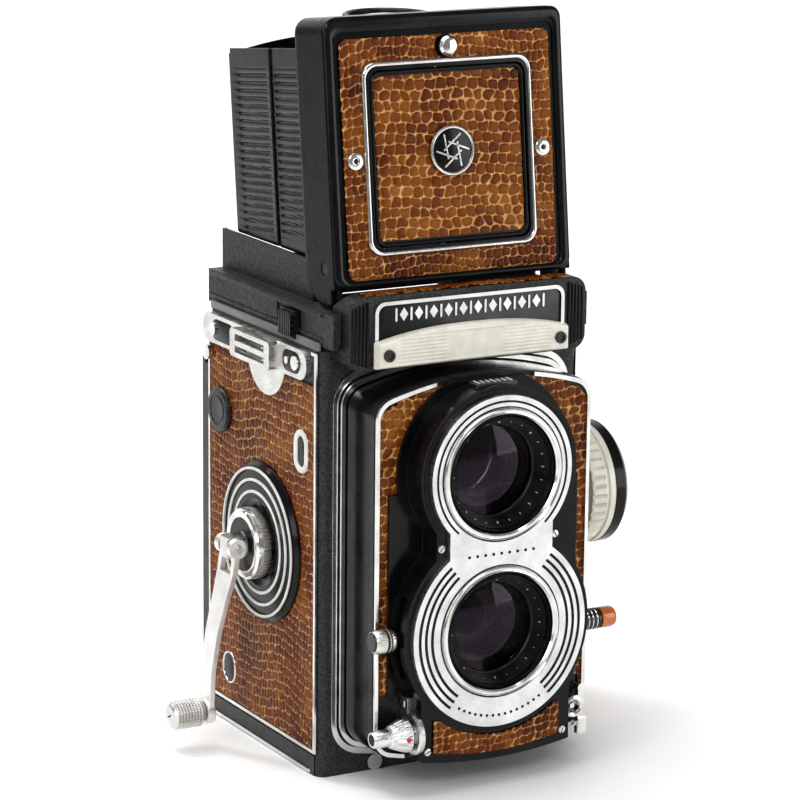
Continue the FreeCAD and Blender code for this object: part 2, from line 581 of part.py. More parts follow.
def standard():
    """The front standard that carries both lenses and slides to focus."""
    edge = ("std_half", "std_low_side", "std_low_mid", "std_high_side", "std_high_mid", "std_round")
    plate = arched("plate_solid", *edge, "std_front", "2.4")
    ports = [
        rod(f"plate_port_{k}", "ring_radius - 3", "6", ("0", "std_front + 4", z), "-Y")
        for k, z in enumerate(("take_high", "take_high + lens_gap"))
    ]
    subpart(cut("plate", plate, *ports), "front_standard")
    skirt = arched_ring("skirt", 0, 1.2, 0, "std_front + 2.4", "-25 - std_front - 2.4")
    # behind the front wall the sleeve is cut away under the focusing screen
    relief = block("skirt_relief", ("-40", "body_front + wall - 0.1", "100.5"), ("80", "20", "20"))
    subpart(cut("sleeve", skirt, relief), "lens_sleeve")

    def housing(tag, upper, lower, waist, front, depth):
        """Both lens discs joined by a waist, as one plate."""
        discs = [
            rod(f"{tag}_upper", upper, depth, ("0", f"{front} + {depth}", "take_high + lens_gap"), "-Y"),
            rod(f"{tag}_lower", lower, depth, ("0", f"{front} + {depth}", "take_high"), "-Y"),
            block(f"{tag}_waist", (f"-({waist})", front, "take_high + 10"),
                  (f"2 * ({waist})", depth, "lens_gap - 15")),
        ]
        return discs

    depth = "std_front - house_front"
    black = housing("house", "23.2", "27.7", "18.4", "house_front", depth)
    foot_arch = arched(
        "house_foot_arch", "std_half - 1", "std_low_side + 1.0", "std_low_mid + 1.4",
        "std_high_side", "std_high_mid", "std_round", "house_front", depth,
    )
    foot_block = block("house_foot_block", ("-22.4", "house_front - 1", "0"), ("44.8", f"{depth} + 2", "26.6"))
    black.append(common("house_foot", foot_arch, foot_block))
    black.append(block("house_plinth", ("-28.3", "std_front - 1.2", "26"), ("56.6", "1.2", "54")))
    black.append(rod("house_crown", "26", "1.2", ("0", "std_front", "take_high + lens_gap"), "-Y"))
    barrel_holes = [
        rod(f"house_hole_{k}", "ring_radius + 0.1", "16", ("0", "std_front + 2", z), "-Y")
        for k, z in enumerate(("take_high", "take_high + lens_gap"))
    ]
    lever_slots = []
    swing = math.radians(dim("lever_swing") + 5)
    for tag, side, tilt in (("left", -1, 0.0), ("right", 1, -dim("lever_tilt"))):
        middle = math.radians(tilt)
        back = dim("lever_y") + 1.7
        hub = Vector(0, back, dim("take_high"))
        rays = [
            hub + Vector(side * 40 * math.cos(middle + turn), 0, 40 * math.sin(middle + turn))
            for turn in (-swing, swing)
        ]
        wedge = Part.Face(Part.makePolygon([hub, *rays, hub])).extrude(Vector(0, -3.4, 0))
        core = Part.makeCylinder(24.0, 3.4, hub, Vector(0, -1, 0))
        sector = doc.addObject("Part::Feature", f"slot_{tag}")
        sector.Shape = wedge.cut(core)
        lever_slots.append(sector)
    crown_clip = block("house_clip", ("-30", "house_front - 2", "std_high_mid - 1.6"), ("60", "14", "8"))
    stem_room = rod("house_stem_room", "2.8", "2", ("-22.6", "release_y", "release_z"), "+X")
    subpart(
        cut("house", join("house_solid", *black), *barrel_holes, *lever_slots, crown_clip, stem_room),
        "lens_housing",
    )
    bright = housing("bezel", "20.8", "25.8", "15.3", "bezel_front", "house_front - bezel_front")
    bezel_holes = [
        rod(f"bezel_hole_{k}", "ring_radius + 0.1", "6", ("0", "bezel_front + 4", z), "-Y")
        for k, z in enumerate(("take_high", "take_high + lens_gap"))
    ]
    subpart(cut("bezel", join("bezel_solid", *bright), *bezel_holes), "lens_bezel")

    def inset(off):
        return arched(
            f"cover_{off}".replace(".", "_"),
            f"std_half - {off}", f"std_low_side + {off}", f"std_low_mid + {off}",
            f"std_high_side - {off}", f"std_high_mid - {off}", f"std_round - {off}",
            "std_front - skin", "skin",
        )

    lozenge = [
        block("cover_plinth", ("-28.4", "std_front - 2", "26"), ("56.8", "4", "54")),
        rod("cover_crown", "26.1", "4", ("0", "std_front + 1", "take_high + lens_gap"), "-Y"),
        rod("cover_belly", "27.8", "4", ("0", "std_front + 1", "take_high"), "-Y"),
        block("cover_foot", ("-22.5", "std_front - 2", "0"), ("45", "4", "30")),
        block("cover_corner", ("-40", "std_front - 2", "0"), ("20", "4", "26.6")),
        block("cover_corner_right", ("20", "std_front - 2", "0"), ("10.4", "4", "24")),
    ]
    side_panels = cut("cover_sides", inset(2.2), *lozenge)
    foot_panel = block("cover_bottom", ("-17.6", "house_front - skin", "10.4"), ("35.2", "skin", "7"))
    foot_round = rod("cover_bottom_round", "27.9", "4", ("0", "house_front + 1", "take_high"), "-Y")
    subpart(group("front_leather", side_panels, cut("cover_foot_panel", foot_panel, foot_round)), "front_leather")
    bead = arched_ring("piping", -0.2, 1.0, 0, "std_front - 1.1", "1.1")
    gaps = [
        block("piping_gap_top", ("-14.5", "std_front - 2", "100"), ("29", "4", "16")),
        block("piping_gap_foot", ("-23", "std_front - 2", "0"), ("46", "4", "14")),
    ]
    subpart(cut("piping_bead", bead, *gaps), "front_piping")


def lenses():
    """Barrels, glass and iris of both lenses, and the fittings of the shutter."""
    for tag, label, z, well in (
        ("view", "viewing", "take_high + lens_gap", "4.4"),
        ("take", "taking", "take_high", "3.6"),
    ):
        barrel = turned(
            f"{tag}_barrel",
            (("glass_radius", "0"), ("ring_radius - 3.2", "0"), ("ring_radius - 3.2", "14.7"),
             ("ring_radius", "14.7"), ("ring_radius", "24.4"), ("ring_radius - 1.0", "25.4"),
             ("ring_radius - 1.4", "24.2"), ("front_glass", f"24.2 - {well}"),
             ("front_glass", "17.4"), ("glass_radius - 1.5", "17"), ("glass_radius - 1.5", "4"),
             ("glass_radius", "4")),
            ("0", "-36.2", z), "-Y",
        )
        subpart(barrel, f"{label}_barrel")
        height = number(z)

        def element(y_edge, thick, radius, sag):
            """A round glass with a domed front and a flat back."""
            curve = (radius ** 2 + sag ** 2) / (2 * sag)
            disc = Part.makeCylinder(radius, thick + sag + 0.2, Vector(0, y_edge, height), Vector(0, -1, 0))
            dome = Part.makeSphere(curve, Vector(0, y_edge - thick - sag + curve, height))
            return disc.common(dome)

        front = element(-53.6, 1.2, dim("front_glass") - 0.02, 2.0)
        rear = element(-36.2, 2.0, dim("glass_radius") - 0.02, 1.6)
        glass = doc.addObject("Part::Feature", f"{tag}_glass")
        glass.Shape = Part.makeCompound([front, rear])
        subpart(glass, f"{label}_glass")

    blades = doc.addObject("Part::Feature", "iris")
    shapes = []
    count, reach = 5, dim("glass_radius") - 1.6
    for k in range(count):
        ring = Part.makeCylinder(reach, 0.2, Vector(0, -44.0 - 0.3 * k, 0), Vector(0, -1, 0))
        hole = Part.makeCylinder(reach * 0.82, 1.0, Vector(reach * 0.3, -43.6 - 0.3 * k, 0), Vector(0, -1, 0))
        blade = ring.cut(hole)
        blade.rotate(Vector(0, 0, 0), Vector(0, 1, 0), 360.0 * k / count)
        blade.translate(Vector(0, 0, dim("take_high")))
        shapes.append(blade)
    blades.Shape = Part.makeCompound(shapes)
    subpart(blades, "aperture_blades")


def controls():
    """Release, flash socket and the levers around the taking lens."""
    collar = turned(
        "collar", (("2.8", "0"), ("5.6", "0"), ("5.6", "1.0"), ("4.9", "1.5"), ("2.8", "1.5")),
        ("-22.45", "release_y", "release_z"), "-X",
    )
    ear = block("collar_ear", ("-23.65", "release_y + 2", "release_z + 2"), ("1.2", "3.6", "7"))
    ear_bore = rod("collar_ear_bore", "2.8", "6", ("-26", "release_y", "release_z"), "+X")
    subpart(cut("release_plate_solid", join("release_plate_join", collar, ear), ear_bore), "release_plate")
    button = turned(
        "button",
        (("1.6", "0.2"), ("2.6", "0.2"), ("2.6", "2.6"), ("4.7", "2.6"), ("3.0", "7.4"), ("2.3", "7.9"),
         ("2.3", "12.4"), ("1.9", "12.9"), ("1.6", "12.9")),
        ("-22.45", "release_y", "release_z"), "-X",
    )
    subpart(button, "release_button")
    for tag, label, axis, sign, lift in (
        ("sync", "sync_lever", "-X", -1, 0.0), ("expo", "exposure_lever", "+X", 1, -2.6),
    ):
        start = (f"{sign} * 24.6", "lever_y", f"take_high + {lift}")
        lever = turned(
            f"{tag}_lever",
            (("0", "0"), ("1.2", "0"), ("1.2", "3.6"), ("2.9", "3.8"), ("2.9", "9.2"), ("2.2", "9.8"),
             ("2.2", "13.2"), ("1.6", "13.8"), ("0", "13.8"))
            if sign > 0 else
            (("0", "0"), ("1.2", "0"), ("1.2", "3.6"), ("2.6", "3.8"), ("2.9", "4.6"), ("2.9", "9.6"),
             ("2.2", "10.4"), ("0", "10.4")),
            start, axis,
        )
        subpart(lever, label)
    socket = turned(
        "socket", (("1.75", "1"), ("1.75", "6"), ("3", "6"), ("3", "0"), ("0", "0"), ("0", "1")),
        ("25.6", "-50.9", "17"), "-Y",
    )
    subpart(socket, "flash_socket")
    hook_arm = block("hook_arm", ("28.8", "-54", "10.5"), ("1.3", "1.6", "11"))
    hook_toe = soft_block("hook_toe", ("28.4", "-54.8", "8.2"), ("3.2", "2.4", "4.2"), "0.9", "z")
    hook_hub = rod("hook_hub", "1.1", "3.6", ("29.4", "std_front - 0.1", "21"), "-Y")
    subpart(join("hook", hook_arm, hook_toe, hook_hub), "socket_lever")


def focus_knob():
    knob = turned(
        "knob",
        (("0", "-3.6"), ("4.0", "-3.6"), ("4.0", "0.9"), ("knob_radius - 2.4", "0.9"), ("knob_radius", "1.4"),
         ("knob_radius", "8.6"), ("0", "8.6")),
        ("body_half", "focus_y", "focus_z"), "+X",
    )
    subpart(knob, "focus_knob")
    dial = turned(
        "dial",
        (("0", "0"), ("knob_radius + 0.1", "0"), ("knob_radius + 0.1", "3.0"), ("knob_radius - 1.2", "4.3"),
         ("6", "4.6"), ("5", "5.2"), ("0", "5.4")),
        ("body_half + 8.6", "focus_y", "focus_z"), "+X",
    )
    subpart(dial, "focus_dial")


# ---------------------------------------------------------------- crank

def crank():
    """Hub, folding arm and handle of the winding crank."""
    hub = turned(
        "hub",
        (("0", "-4"), ("6", "-4"), ("6", "-0.4"), ("hub_radius - 2.1", "-0.4"), ("hub_radius - 2.1", "2.2"),
         ("hub_radius", "2.8"), ("hub_radius", "5"), ("hub_radius - 2", "6.6"), ("0", "6.6")),
        ("-body_half", "crank_y", "crank_z"), "-X",
    )
    lug = block("hub_lug", ("-body_half - 12.4", "crank_y - 2.3", "crank_z - 2.8"), ("6.2", "4.6", "5.6"))
    pin = rod("hub_pin", "1.0", "11", ("-body_half - arm_out", "crank_y - 5.5", "crank_z"), "+Y")
    subpart(join("crank_hub_solid", hub, lug, pin), "crank_hub")

    # the arm hangs from the pin by a fork, sweeps outward and back, and ends in a boss
    thick, ear_in, ear_out = 1.6, 2.6, 4.6
    stations = (
        (-0.7, 0.7, -7.2, 4.5), (-1.9, 1.7, -14.0, 3.9), (-3.4, 3.4, -24.0, 3.4),
        (-4.2, 5.1, -35.0, 3.1), (-4.0, 6.8, -47.4, 3.0),
    )

    def section(x, low, high, z):
        """A closed wire across the arm, between two places along Y."""
        corners = [
            Vector(x - thick / 2, low, z), Vector(x + thick / 2, low, z),
            Vector(x + thick / 2, high, z), Vector(x - thick / 2, high, z),
        ]
        return Part.makePolygon(corners + corners[:1])

    solids = []
    for (x0, y0, z0, half0), (x1, y1, z1, half1) in zip(stations, stations[1:]):
        wires = [section(x0, y0 - half0, y0 + half0, z0), section(x1, y1 - half1, y1 + half1, z1)]
        solids.append(Part.makeLoft(wires, True, True))
    crotch_x, crotch_y, crotch_z, crotch_half = stations[0]
    for side in (-1, 1):
        upper = sorted((side * ear_in, side * ear_out))
        lower = sorted((crotch_y + side * 3.1, crotch_y + side * crotch_half))
        solids.append(
            Part.makeLoft([section(0, *upper, 0), section(crotch_x, *lower, crotch_z)], True, True)
        )
        ear_low = min(side * ear_in, side * ear_out)
        solids.append(
            Part.makeCylinder(2.7, ear_out - ear_in, Vector(0, ear_low, 0), Vector(0, 1, 0))
        )
    end = Vector(*stations[-1][:3])
    solids.append(Part.makeCylinder(3.6, 2.2, end + Vector(1.1, 0, 0), Vector(-1, 0, 0)))
    solids.append(Part.makeCylinder(1.2, 9.6, end, Vector(-1, 0, 0)))
    arm = solids[0].fuse(solids[1:])
    arm = arm.cut(Part.makeCylinder(1.05, 12, Vector(0, -6, 0), Vector(0, 1, 0)))
    arm.translate(Vector(-dim("body_half") - dim("arm_out"), dim("crank_y"), dim("crank_z")))
    feature = doc.addObject("Part::Feature", "arm")
    feature.Shape = arm.removeSplitter()
    subpart(feature, "crank_arm")
    grip = turned(
        "grip",
        (("1.27", "1.4"), ("3.3", "1.4"), ("3.9", "2.2"), ("3.9", "10.2"), ("3.2", "10.9"), ("0", "11.1"),
         ("0", "9.9"), ("1.27", "9.9")),
        (f"-body_half - arm_out + {end.x}", f"crank_y + {end.y}", f"crank_z + {end.z}"), "-X",
    )
    subpart(grip, "crank_handle")


# ---------------------------------------------------------------- nameplate

def nameplate():
    """The housing above the lenses, its frame and the fluted diffuser."""
    front, low = "body_front - 9", "111"
    case = soft_block(
        "meter_case", ("-35.3", front, low), ("70.6", "9", "19.4"), "4", "y"
    )
    # the lid's heel turns in a hollow along the housing's rear edge
    heel_room = rod("meter_heel_room", "pivot_round + 0.3", "80", ("-40", "lid_pivot_y", "lid_pivot_z"), "+X")
    subpart(cut("meter", case, heel_room), "meter_housing")
    outer = soft_block("name_outer", ("-28.3", "body_front - 9.9", "111.7"), ("56.6", "0.9", "17.2"), "3", "y")
    inner = soft_block("name_inner", ("-27.3", "body_front - 9.9", "112.7"), ("54.6", "0.9", "15.2"), "2.2", "y")
    subpart(cut("name_ring", outer, inner), "nameplate_frame")
    bar = soft_block("diffuser_bar", ("-28.8", "body_front - 12.5", "111.6"), ("57.6", "2.6", "10.6"), "1.2", "x")
    studs = [
        rod(f"diffuser_stud_{tag}", "1.5", "0.8", (x, "body_front - 12.5", "115.4"), "-Y")
        for tag, x in (("left", "-25.6"), ("right", "25.6"))
    ]
    subpart(group("diffuser", bar, *studs), "meter_diffuser")


# ---------------------------------------------------------------- hood

def lean(name, label, item):
    """Wrap a piece drawn in the lid's own frame and lean it back with the lid."""
    piece = group(name, item) if item.TypeId != "Part::Compound" else item
    piece.Placement = Placement(
        Vector(0, dim("lid_foot_y"), dim("lid_foot_z")), Rotation(Vector(1, 0, 0), -dim("lid_lean"))
    )
    return subpart(piece, label)


def hood_base():
    """The removable hood's base: a ledge around the screen and a raised wall."""
    ledge = block("base_ledge", ("-38", "body_front + 0.1", "ledge_low + 1.4"),
                  ("76", "67", "ledge_high - ledge_low - 1.4"))
    cheeks = [
        block(f"base_cheek_{tag}", (x, "body_front - 5.4", "ledge_low + 1.4"),
              ("2.3", "6", "ledge_high - ledge_low - 1.4"))
        for tag, x in (("left", "-38"), ("right", "35.7"))
    ]
    foot = block("base_foot", ("-37.2", "body_front + 0.1", "ledge_low"), ("74.4", "66.5", "1.5"))
    wall = block("base_wall", ("-33.8", "-20", "ledge_high - 1"), ("67.6", "53.1", "well_high - ledge_high + 1"))
    room = block("base_room", ("-33", "-31.4", "ledge_low - 1"), ("66", "63.7", "30"))
    front_room = block("base_front_room", ("-33", "-31.4", "ledge_high"), ("66", "12", "20"))
    latch_room = block("base_latch_room", ("-40", "-21.4", "ledge_low + 0.6"), ("2.6", "13.6", "8.6"))
    # the back panel swings out over the rear wall, which is low for it
    rear_low = block("base_rear_low", ("-32.6", "31", "ledge_high + 2.2"), ("65.2", "10", "20"))
    ears = [
        rod(f"base_ear_{tag}", "3.4", "1.6", (x, "lid_pivot_y", "lid_pivot_z"), "+X")
        for tag, x in (("left", "-33.3"), ("right", "31.7"))
    ]
    posts = [
        block(f"base_post_{tag}", (x, "lid_pivot_y - 3.4", "ledge_high - 1"),
              ("1.6", "6.8", "lid_pivot_z - ledge_high + 1"))
        for tag, x in (("left", "-33.3"), ("right", "31.7"))
    ]
    pins = [
        rod(f"base_pin_{tag}", "1.4", "1.9", (x, "lid_pivot_y", "lid_pivot_z"), "+X")
        for tag, x in (("left", "-35.1"), ("right", "33.2"))
    ]
    ring = cut("base_ring", join("base_solid", ledge, foot, wall, *cheeks), room, front_room,
               latch_room, rear_low)
    subpart(join("hood_base_solid", ring, *ears, *posts, *pins), "hood_base")
    grip = block("latch_grip", ("-39.4", "-20.2", "ledge_low + 1"), ("1.7", "7.6", "7.4"))
    ribs = [
        block(f"latch_rib_{k}", ("-40", "-20.2", f"ledge_low + {1.4 + 1.4 * k}"), ("0.7", "7.6", "0.7"))
        for k in range(5)
    ]
    subpart(join("latch", grip, *ribs), "hood_latch")


def lid():
    """The lid: a shallow tray whose face holds the sports finder's window."""
    deep, sheet_thick = "lid_deep", "lid_sheet"
    shell = block("lid_shell", ("-lid_half", "0", "pivot_up"), ("2 * lid_half", deep, "lid_tall - pivot_up"))
    heel = rod("lid_heel", "pivot_round", "2 * lid_half", ("-lid_half", "pivot_deep", "pivot_up"), "+X")
    front_cut = block("lid_front_cut", ("-40", "-20", "-20"), ("80", "20", "40"))
    solid = cut("lid_solid", join("lid_whole", shell, heel), front_cut)
    room = soft_block("lid_room", ("-lid_half + 1.1", sheet_thick, "-20"),
                      ("2 * (lid_half - 1.1)", "40", "lid_tall - 1.4 + 20"), "lid_round - 3.0", "y")
    window = soft_block("lid_window", ("-23.2", "-2", "9.6"), ("46.4", "6", "45.8"), "3", "y")
    knob_hole = rod("lid_knob_hole", "1.5", "6", ("0", "-2", "60.6"), "+Y")
    toe = block("lid_toe", ("-lid_half - 1", "-2", "-12"), ("2 * lid_half + 2", "4", "12"))
    pin_holes = rod("lid_pin_hole", "1.45", "80", ("-40", "pivot_deep", "pivot_up"), "+X")
    outline_block = soft_block("lid_outline", ("-lid_half", "-1", "-30"),
                               ("2 * lid_half", "40", "lid_tall + 30"), "lid_round", "y")
    hollow = cut("lid_cut", solid, room, window, knob_hole, toe, pin_holes)
    lean("lid_placed", "hood_lid", common("lid_rounded", hollow, outline_block))

    panel = soft_block("lid_skin", ("-31.4", "-skin", "1.6"), ("62.8", "skin", "62.4"), "2.4", "y")
    opening = soft_block("lid_skin_window", ("-25", "-2", "7.8"), ("50", "6", "49.6"), "4", "y")
    knob_gap = rod("lid_skin_knob", "2.6", "6", ("0", "-3", "60.6"), "+Y")
    eye_gaps = [
        rod(f"lid_skin_eye_{k}", "2.1", "6", (f"{x}", "-3", "32.6"), "+Y") for k, x in enumerate((-27.9, 27.9))
    ]
    lean("lid_leather_placed", "lid_leather", cut("lid_leather_cut", panel, opening, knob_gap, *eye_gaps))
    rim = soft_block("window_rim", ("-25", "-1.2", "7.8"), ("50", "1.2", "49.6"), "4", "y")
    sight = soft_block("window_sight", ("-23.2", "-2", "9.6"), ("46.4", "6", "45.8"), "3", "y")
    lean("window_placed", "window_frame", cut("window_cut", rim, sight))
    eyelets = [
        turned(
            f"eyelet_{k}", (("0.7", "0"), ("2", "0"), ("2", "0.6"), ("1.4", "1.1"), ("0.7", "1.1")),
            (f"{x}", "0", "32.6"), "-Y",
        )
        for k, x in enumerate((-27.9, 27.9))
    ]
    lean("eyelets", "lid_eyelets", group("eyelet_pair", *eyelets))
    knob = turned(
        "lid_button",
        (("0", "-3"), ("1.4", "-3"), ("1.4", "0.9"), ("2.2", "1.1"), ("2.2", "2.2"), ("1.5", "2.9"), ("0", "3.1")),
        ("0", "0", "60.6"), "-Y",
    )
    lean("lid_button_placed", "lid_knob", knob)

    flap = soft_block("flap_sheet", ("-22.9", "0", "9.9"), ("45.8", "1.2", "45.2"), "2.8", "y")
    lean("flap_placed", "sports_flap", flap)
    cover = soft_block("flap_skin", ("-21.9", "-skin", "11.2"), ("43.8", "skin", "42.9"), "2", "y")
    lean("flap_skin_placed", "flap_leather", cover)
    disc = rod("badge_disc", "6.6", "0.6", ("0.4", "-skin", "33.6"), "-Y")
    flat = block("badge_trim", ("-10", "-3", "38.4"), ("20", "4", "4"))
    lean("badge_placed", "badge", cut("badge_cut", disc, flat))


def wings():
    """Two hinged wings a side and the back panel, drawn in the lid's frame."""
    barrel = 0.5
    gap = 0.7
    low, high = dim("wing_low"), dim("wing_high")
    outer, offset, wide = dim("wing_hinge"), dim("wing_offset"), dim("wing_wide")
    slant = dim("wing_slant")
    front = dim("wing_front")
    face = outer + offset - 0.1
    thick = dim("wing_thick")
    first_knuckle = low + slant * wide + 0.4
    pitch = (high - first_knuckle) / 6

    def sheet_of(deep, long):
        """A wing's plate, whose lower edge rises with its depth."""
        foot = low + slant * (deep - front)
        corners = [
            Vector(face - thick, deep, foot), Vector(face - thick, deep + long, foot + slant * long),
            Vector(face - thick, deep + long, high), Vector(face - thick, deep, high),
        ]
        return Part.Face(Part.makePolygon(corners + corners[:1])).extrude(Vector(thick, 0, 0))

    def knuckles(x, deep, plate_deep, odd):
        """Alternate hinge barrels on a line, each with a leaf to its plate."""
        solids = []
        for k in range(6):
            if k % 2 != odd:
                continue
            start = first_knuckle + pitch * k + 0.15
            tall = pitch - 0.3
            solids.append(Part.makeCylinder(barrel, tall, Vector(x, deep, start)))
            near, far = sorted((deep, plate_deep))
            solids.append(Part.makeBox(0.4, far - near, tall, Vector(x - 0.5, near, start)))
        return solids

    for side in (-1, 1):
        tag = "left" if side < 0 else "right"
        middle = front + wide
        rear = middle + wide
        fore = sheet_of(front + gap, wide - 2 * gap)
        aft = sheet_of(middle + gap, wide - 2 * gap)
        fore = fore.fuse(knuckles(outer + offset, middle, middle - gap - 0.2, 0))
        aft = aft.fuse(knuckles(outer + offset, middle, middle + gap + 0.2, 1))
        for name, shape in ((f"front_wing_{tag}", fore), (f"rear_wing_{tag}", aft)):
            feature = doc.addObject("Part::Feature", name + "_sheet")
            if side < 0:
                shape = shape.mirror(Vector(0, 0, 0), Vector(1, 0, 0))
            feature.Shape = shape.removeSplitter()
            lean(name, name, feature)

    back_low = low + 2 * slant * wide
    back = Part.makeBox(
        2 * (outer - 0.2), 1.0, high - back_low - 1.5, Vector(-outer + 0.2, rear + 0.4, back_low)
    )
    crown_rise = 4.0
    half = outer - 0.2
    crown_radius = (half ** 2 + crown_rise ** 2) / (2 * crown_rise)
    crown = Part.makeCylinder(
        crown_radius, 1.0, Vector(0, rear + 0.4, high - 1.5 + crown_rise - crown_radius), Vector(0, 1, 0)
    )
    keep = Part.makeBox(2 * half, 3.0, 2 * crown_rise, Vector(-half, rear, high - 1.6))
    feature = doc.addObject("Part::Feature", "back_sheet")
    feature.Shape = back.fuse(crown.common(keep)).removeSplitter()
    lean("hood_back_placed", "hood_back_panel", feature)


def loupe():
    """The focusing loupe, raised: an arm from the lid with a lens in a ring."""
    ring = rod("loupe_ring", "loupe_radius", "2.4", ("0", "loupe_reach", "-1.2"))
    arm = block("loupe_arm", ("-8", "0.2", "-0.6"), ("16", "loupe_reach", "1.2"))
    barrel = rod("loupe_barrel", "1.1", "16", ("-8", "0", "0"), "+X")
    eye = rod("loupe_eye", "loupe_radius - 1.6", "6", ("0", "loupe_reach", "-3"))
    frame = cut("loupe_frame_cut", join("loupe_solid", ring, arm, barrel), eye)
    radius, thick, sag = dim("loupe_radius") - 1.6, 1.6, 1.2
    curve = (radius ** 2 + sag ** 2) / (2 * sag)
    reach = dim("loupe_reach")
    disc = Part.makeCylinder(radius, thick + sag, Vector(0, reach, -1.0))
    dome = Part.makeSphere(curve, Vector(0, reach, thick + sag - 1.0 - curve))
    glass = doc.addObject("Part::Feature", "loupe_glass")
    glass.Shape = disc.common(dome)
    lift = dim("loupe_raise") - 90
    for name, label, item in (("loupe_frame", "loupe_frame", frame), ("loupe_eyeglass", "loupe_lens", glass)):
        tilted = group(name + "_tilted", item)
        tilted.Placement = Placement(
            Vector(0, dim("loupe_deep"), dim("loupe_up")), Rotation(Vector(1, 0, 0), lift)
        )
        holder = group(name + "_holder", tilted)
        lean(name, label, holder)


casing()
side_covering()
front_trim()
strap_fittings()
side_fittings()
optics_inside()
spool()
door()
standard()
lenses()
controls()
focus_knob()
crank()
nameplate()
hood_base()
lid()
wings()
loupe()

sheet.clear("F1")
doc.recompute()
for item in doc.Objects:
    if "Invalid" in item.State or "Error" in item.State:
        raise RuntimeError(f"{item.Label} failed: {item.State}")
os.makedirs("parts", exist_ok=True)
for item in SUBPARTS:
    if item.Shape.isNull() or not item.Shape.isValid():
        raise RuntimeError(f"{item.Label} has no valid shape")
for item in SUBPARTS:
    item.Shape.exportStep(os.path.join("parts", item.Label + ".step"))
print(len(SUBPARTS), "sub-parts written")
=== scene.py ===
"""Looks of the twin lens reflex camera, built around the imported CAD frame.

Sizes inside the helpers are millimetres in the row frame; meshes are written in metres.
The lenses look along -Y, +Z is up and the winding crank is on the -X side.
"""
import json
import math
from types import SimpleNamespace

import bpy
import bmesh
import numpy as np
from mathutils import Matrix, Vector

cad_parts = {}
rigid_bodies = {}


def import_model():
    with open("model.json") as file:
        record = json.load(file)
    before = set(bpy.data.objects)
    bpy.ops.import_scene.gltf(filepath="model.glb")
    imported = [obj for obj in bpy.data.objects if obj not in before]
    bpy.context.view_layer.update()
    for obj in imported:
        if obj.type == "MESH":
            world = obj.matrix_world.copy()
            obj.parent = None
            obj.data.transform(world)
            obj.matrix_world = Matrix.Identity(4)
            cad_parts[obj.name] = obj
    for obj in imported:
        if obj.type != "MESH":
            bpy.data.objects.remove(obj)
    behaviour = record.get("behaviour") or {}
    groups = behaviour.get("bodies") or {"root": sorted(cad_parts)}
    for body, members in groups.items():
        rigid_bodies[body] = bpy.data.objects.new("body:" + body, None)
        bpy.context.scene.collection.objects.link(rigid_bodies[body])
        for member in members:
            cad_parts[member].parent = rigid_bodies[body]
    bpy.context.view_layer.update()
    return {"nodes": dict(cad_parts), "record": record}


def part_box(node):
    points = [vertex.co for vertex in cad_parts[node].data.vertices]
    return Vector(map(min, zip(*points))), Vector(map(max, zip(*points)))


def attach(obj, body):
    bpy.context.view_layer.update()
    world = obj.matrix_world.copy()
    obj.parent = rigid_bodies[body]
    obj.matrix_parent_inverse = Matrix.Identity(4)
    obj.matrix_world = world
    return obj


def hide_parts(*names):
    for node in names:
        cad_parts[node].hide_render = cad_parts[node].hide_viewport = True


for stray in list(bpy.data.objects):
    bpy.data.objects.remove(stray)
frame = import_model()
NODES = frame["nodes"]
MM = 0.001
CREASE = math.radians(35)  # faces that meet at more than this keep a hard edge
SIDES = ((-1, "-X"), (1, "+X"))


def settle(item, **values):
    """Sets a shader node's inputs; an underscore stands for a space in an input's name."""
    for name, value in values.items():
        item.inputs[name.replace("_", " ")].default_value = value


def add_object(name, data):
    """A new object, in the scene."""
    obj = bpy.data.objects.new(name, data)
    bpy.context.scene.collection.objects.link(obj)
    return obj


def low_high(node):
    """The corners of a CAD node's box, in millimetres."""
    low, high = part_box(node)
    return low / MM, high / MM


# ---- materials

def shader(name):
    """A new material and a small kit for wiring its nodes."""
    mat = bpy.data.materials.new(name)
    mat.use_nodes = True
    nodes, link = mat.node_tree.nodes, mat.node_tree.links.new
    bsdf = nodes["Principled BSDF"]
    where = nodes.new("ShaderNodeTexCoord").outputs["Object"]

    def node(kind, **settings):
        item = nodes.new(kind)
        for key, value in settings.items():
            setattr(item, key, value)
        return item

    def noise(scale, detail=3.0, stretch=None):
        source = where
        if stretch:
            mapping = node("ShaderNodeMapping")
            settle(mapping, Scale=stretch)
            link(where, mapping.inputs["Vector"])
            source = mapping.outputs["Vector"]
        item = node("ShaderNodeTexNoise")
        settle(item, Scale=scale, Detail=detail)
        link(source, item.inputs["Vector"])
        return item.outputs["Fac"]

    def ramp(source, *stops):
        item = node("ShaderNodeValToRGB")
        elements = item.color_ramp.elements
        while len(elements) < len(stops):
            elements.new(0.5)
        for element, (place, colour) in zip(elements, stops):
            element.position = place
            element.color = (*colour, 1.0)
        link(source, item.inputs["Fac"])
        return item.outputs["Color"]

    def spread(source, low, high):
        item = node("ShaderNodeMapRange")
        settle(item, From_Min=0.3, From_Max=0.7, To_Min=low, To_Max=high)
        link(source, item.inputs["Value"])
        return item.outputs["Result"]

    def bump(source, strength, height, after=None):
        item = node("ShaderNodeBump")
        settle(item, Strength=strength, Distance=height * MM)
        link(source, item.inputs["Height"])
        if after is not None:
            link(after, item.inputs["Normal"])
        return item.outputs["Normal"]

    def soft_edge(radius):
        item = node("ShaderNodeBevel", samples=6)
        settle(item, Radius=radius * MM)
        return item.outputs["Normal"]

    def wire(socket, source):
        link(source, bsdf.inputs[socket])

    return mat, SimpleNamespace(node=node, noise=noise, ramp=ramp, spread=spread, bump=bump,
                                soft_edge=soft_edge, wire=wire, bsdf=bsdf, link=link, where=where)


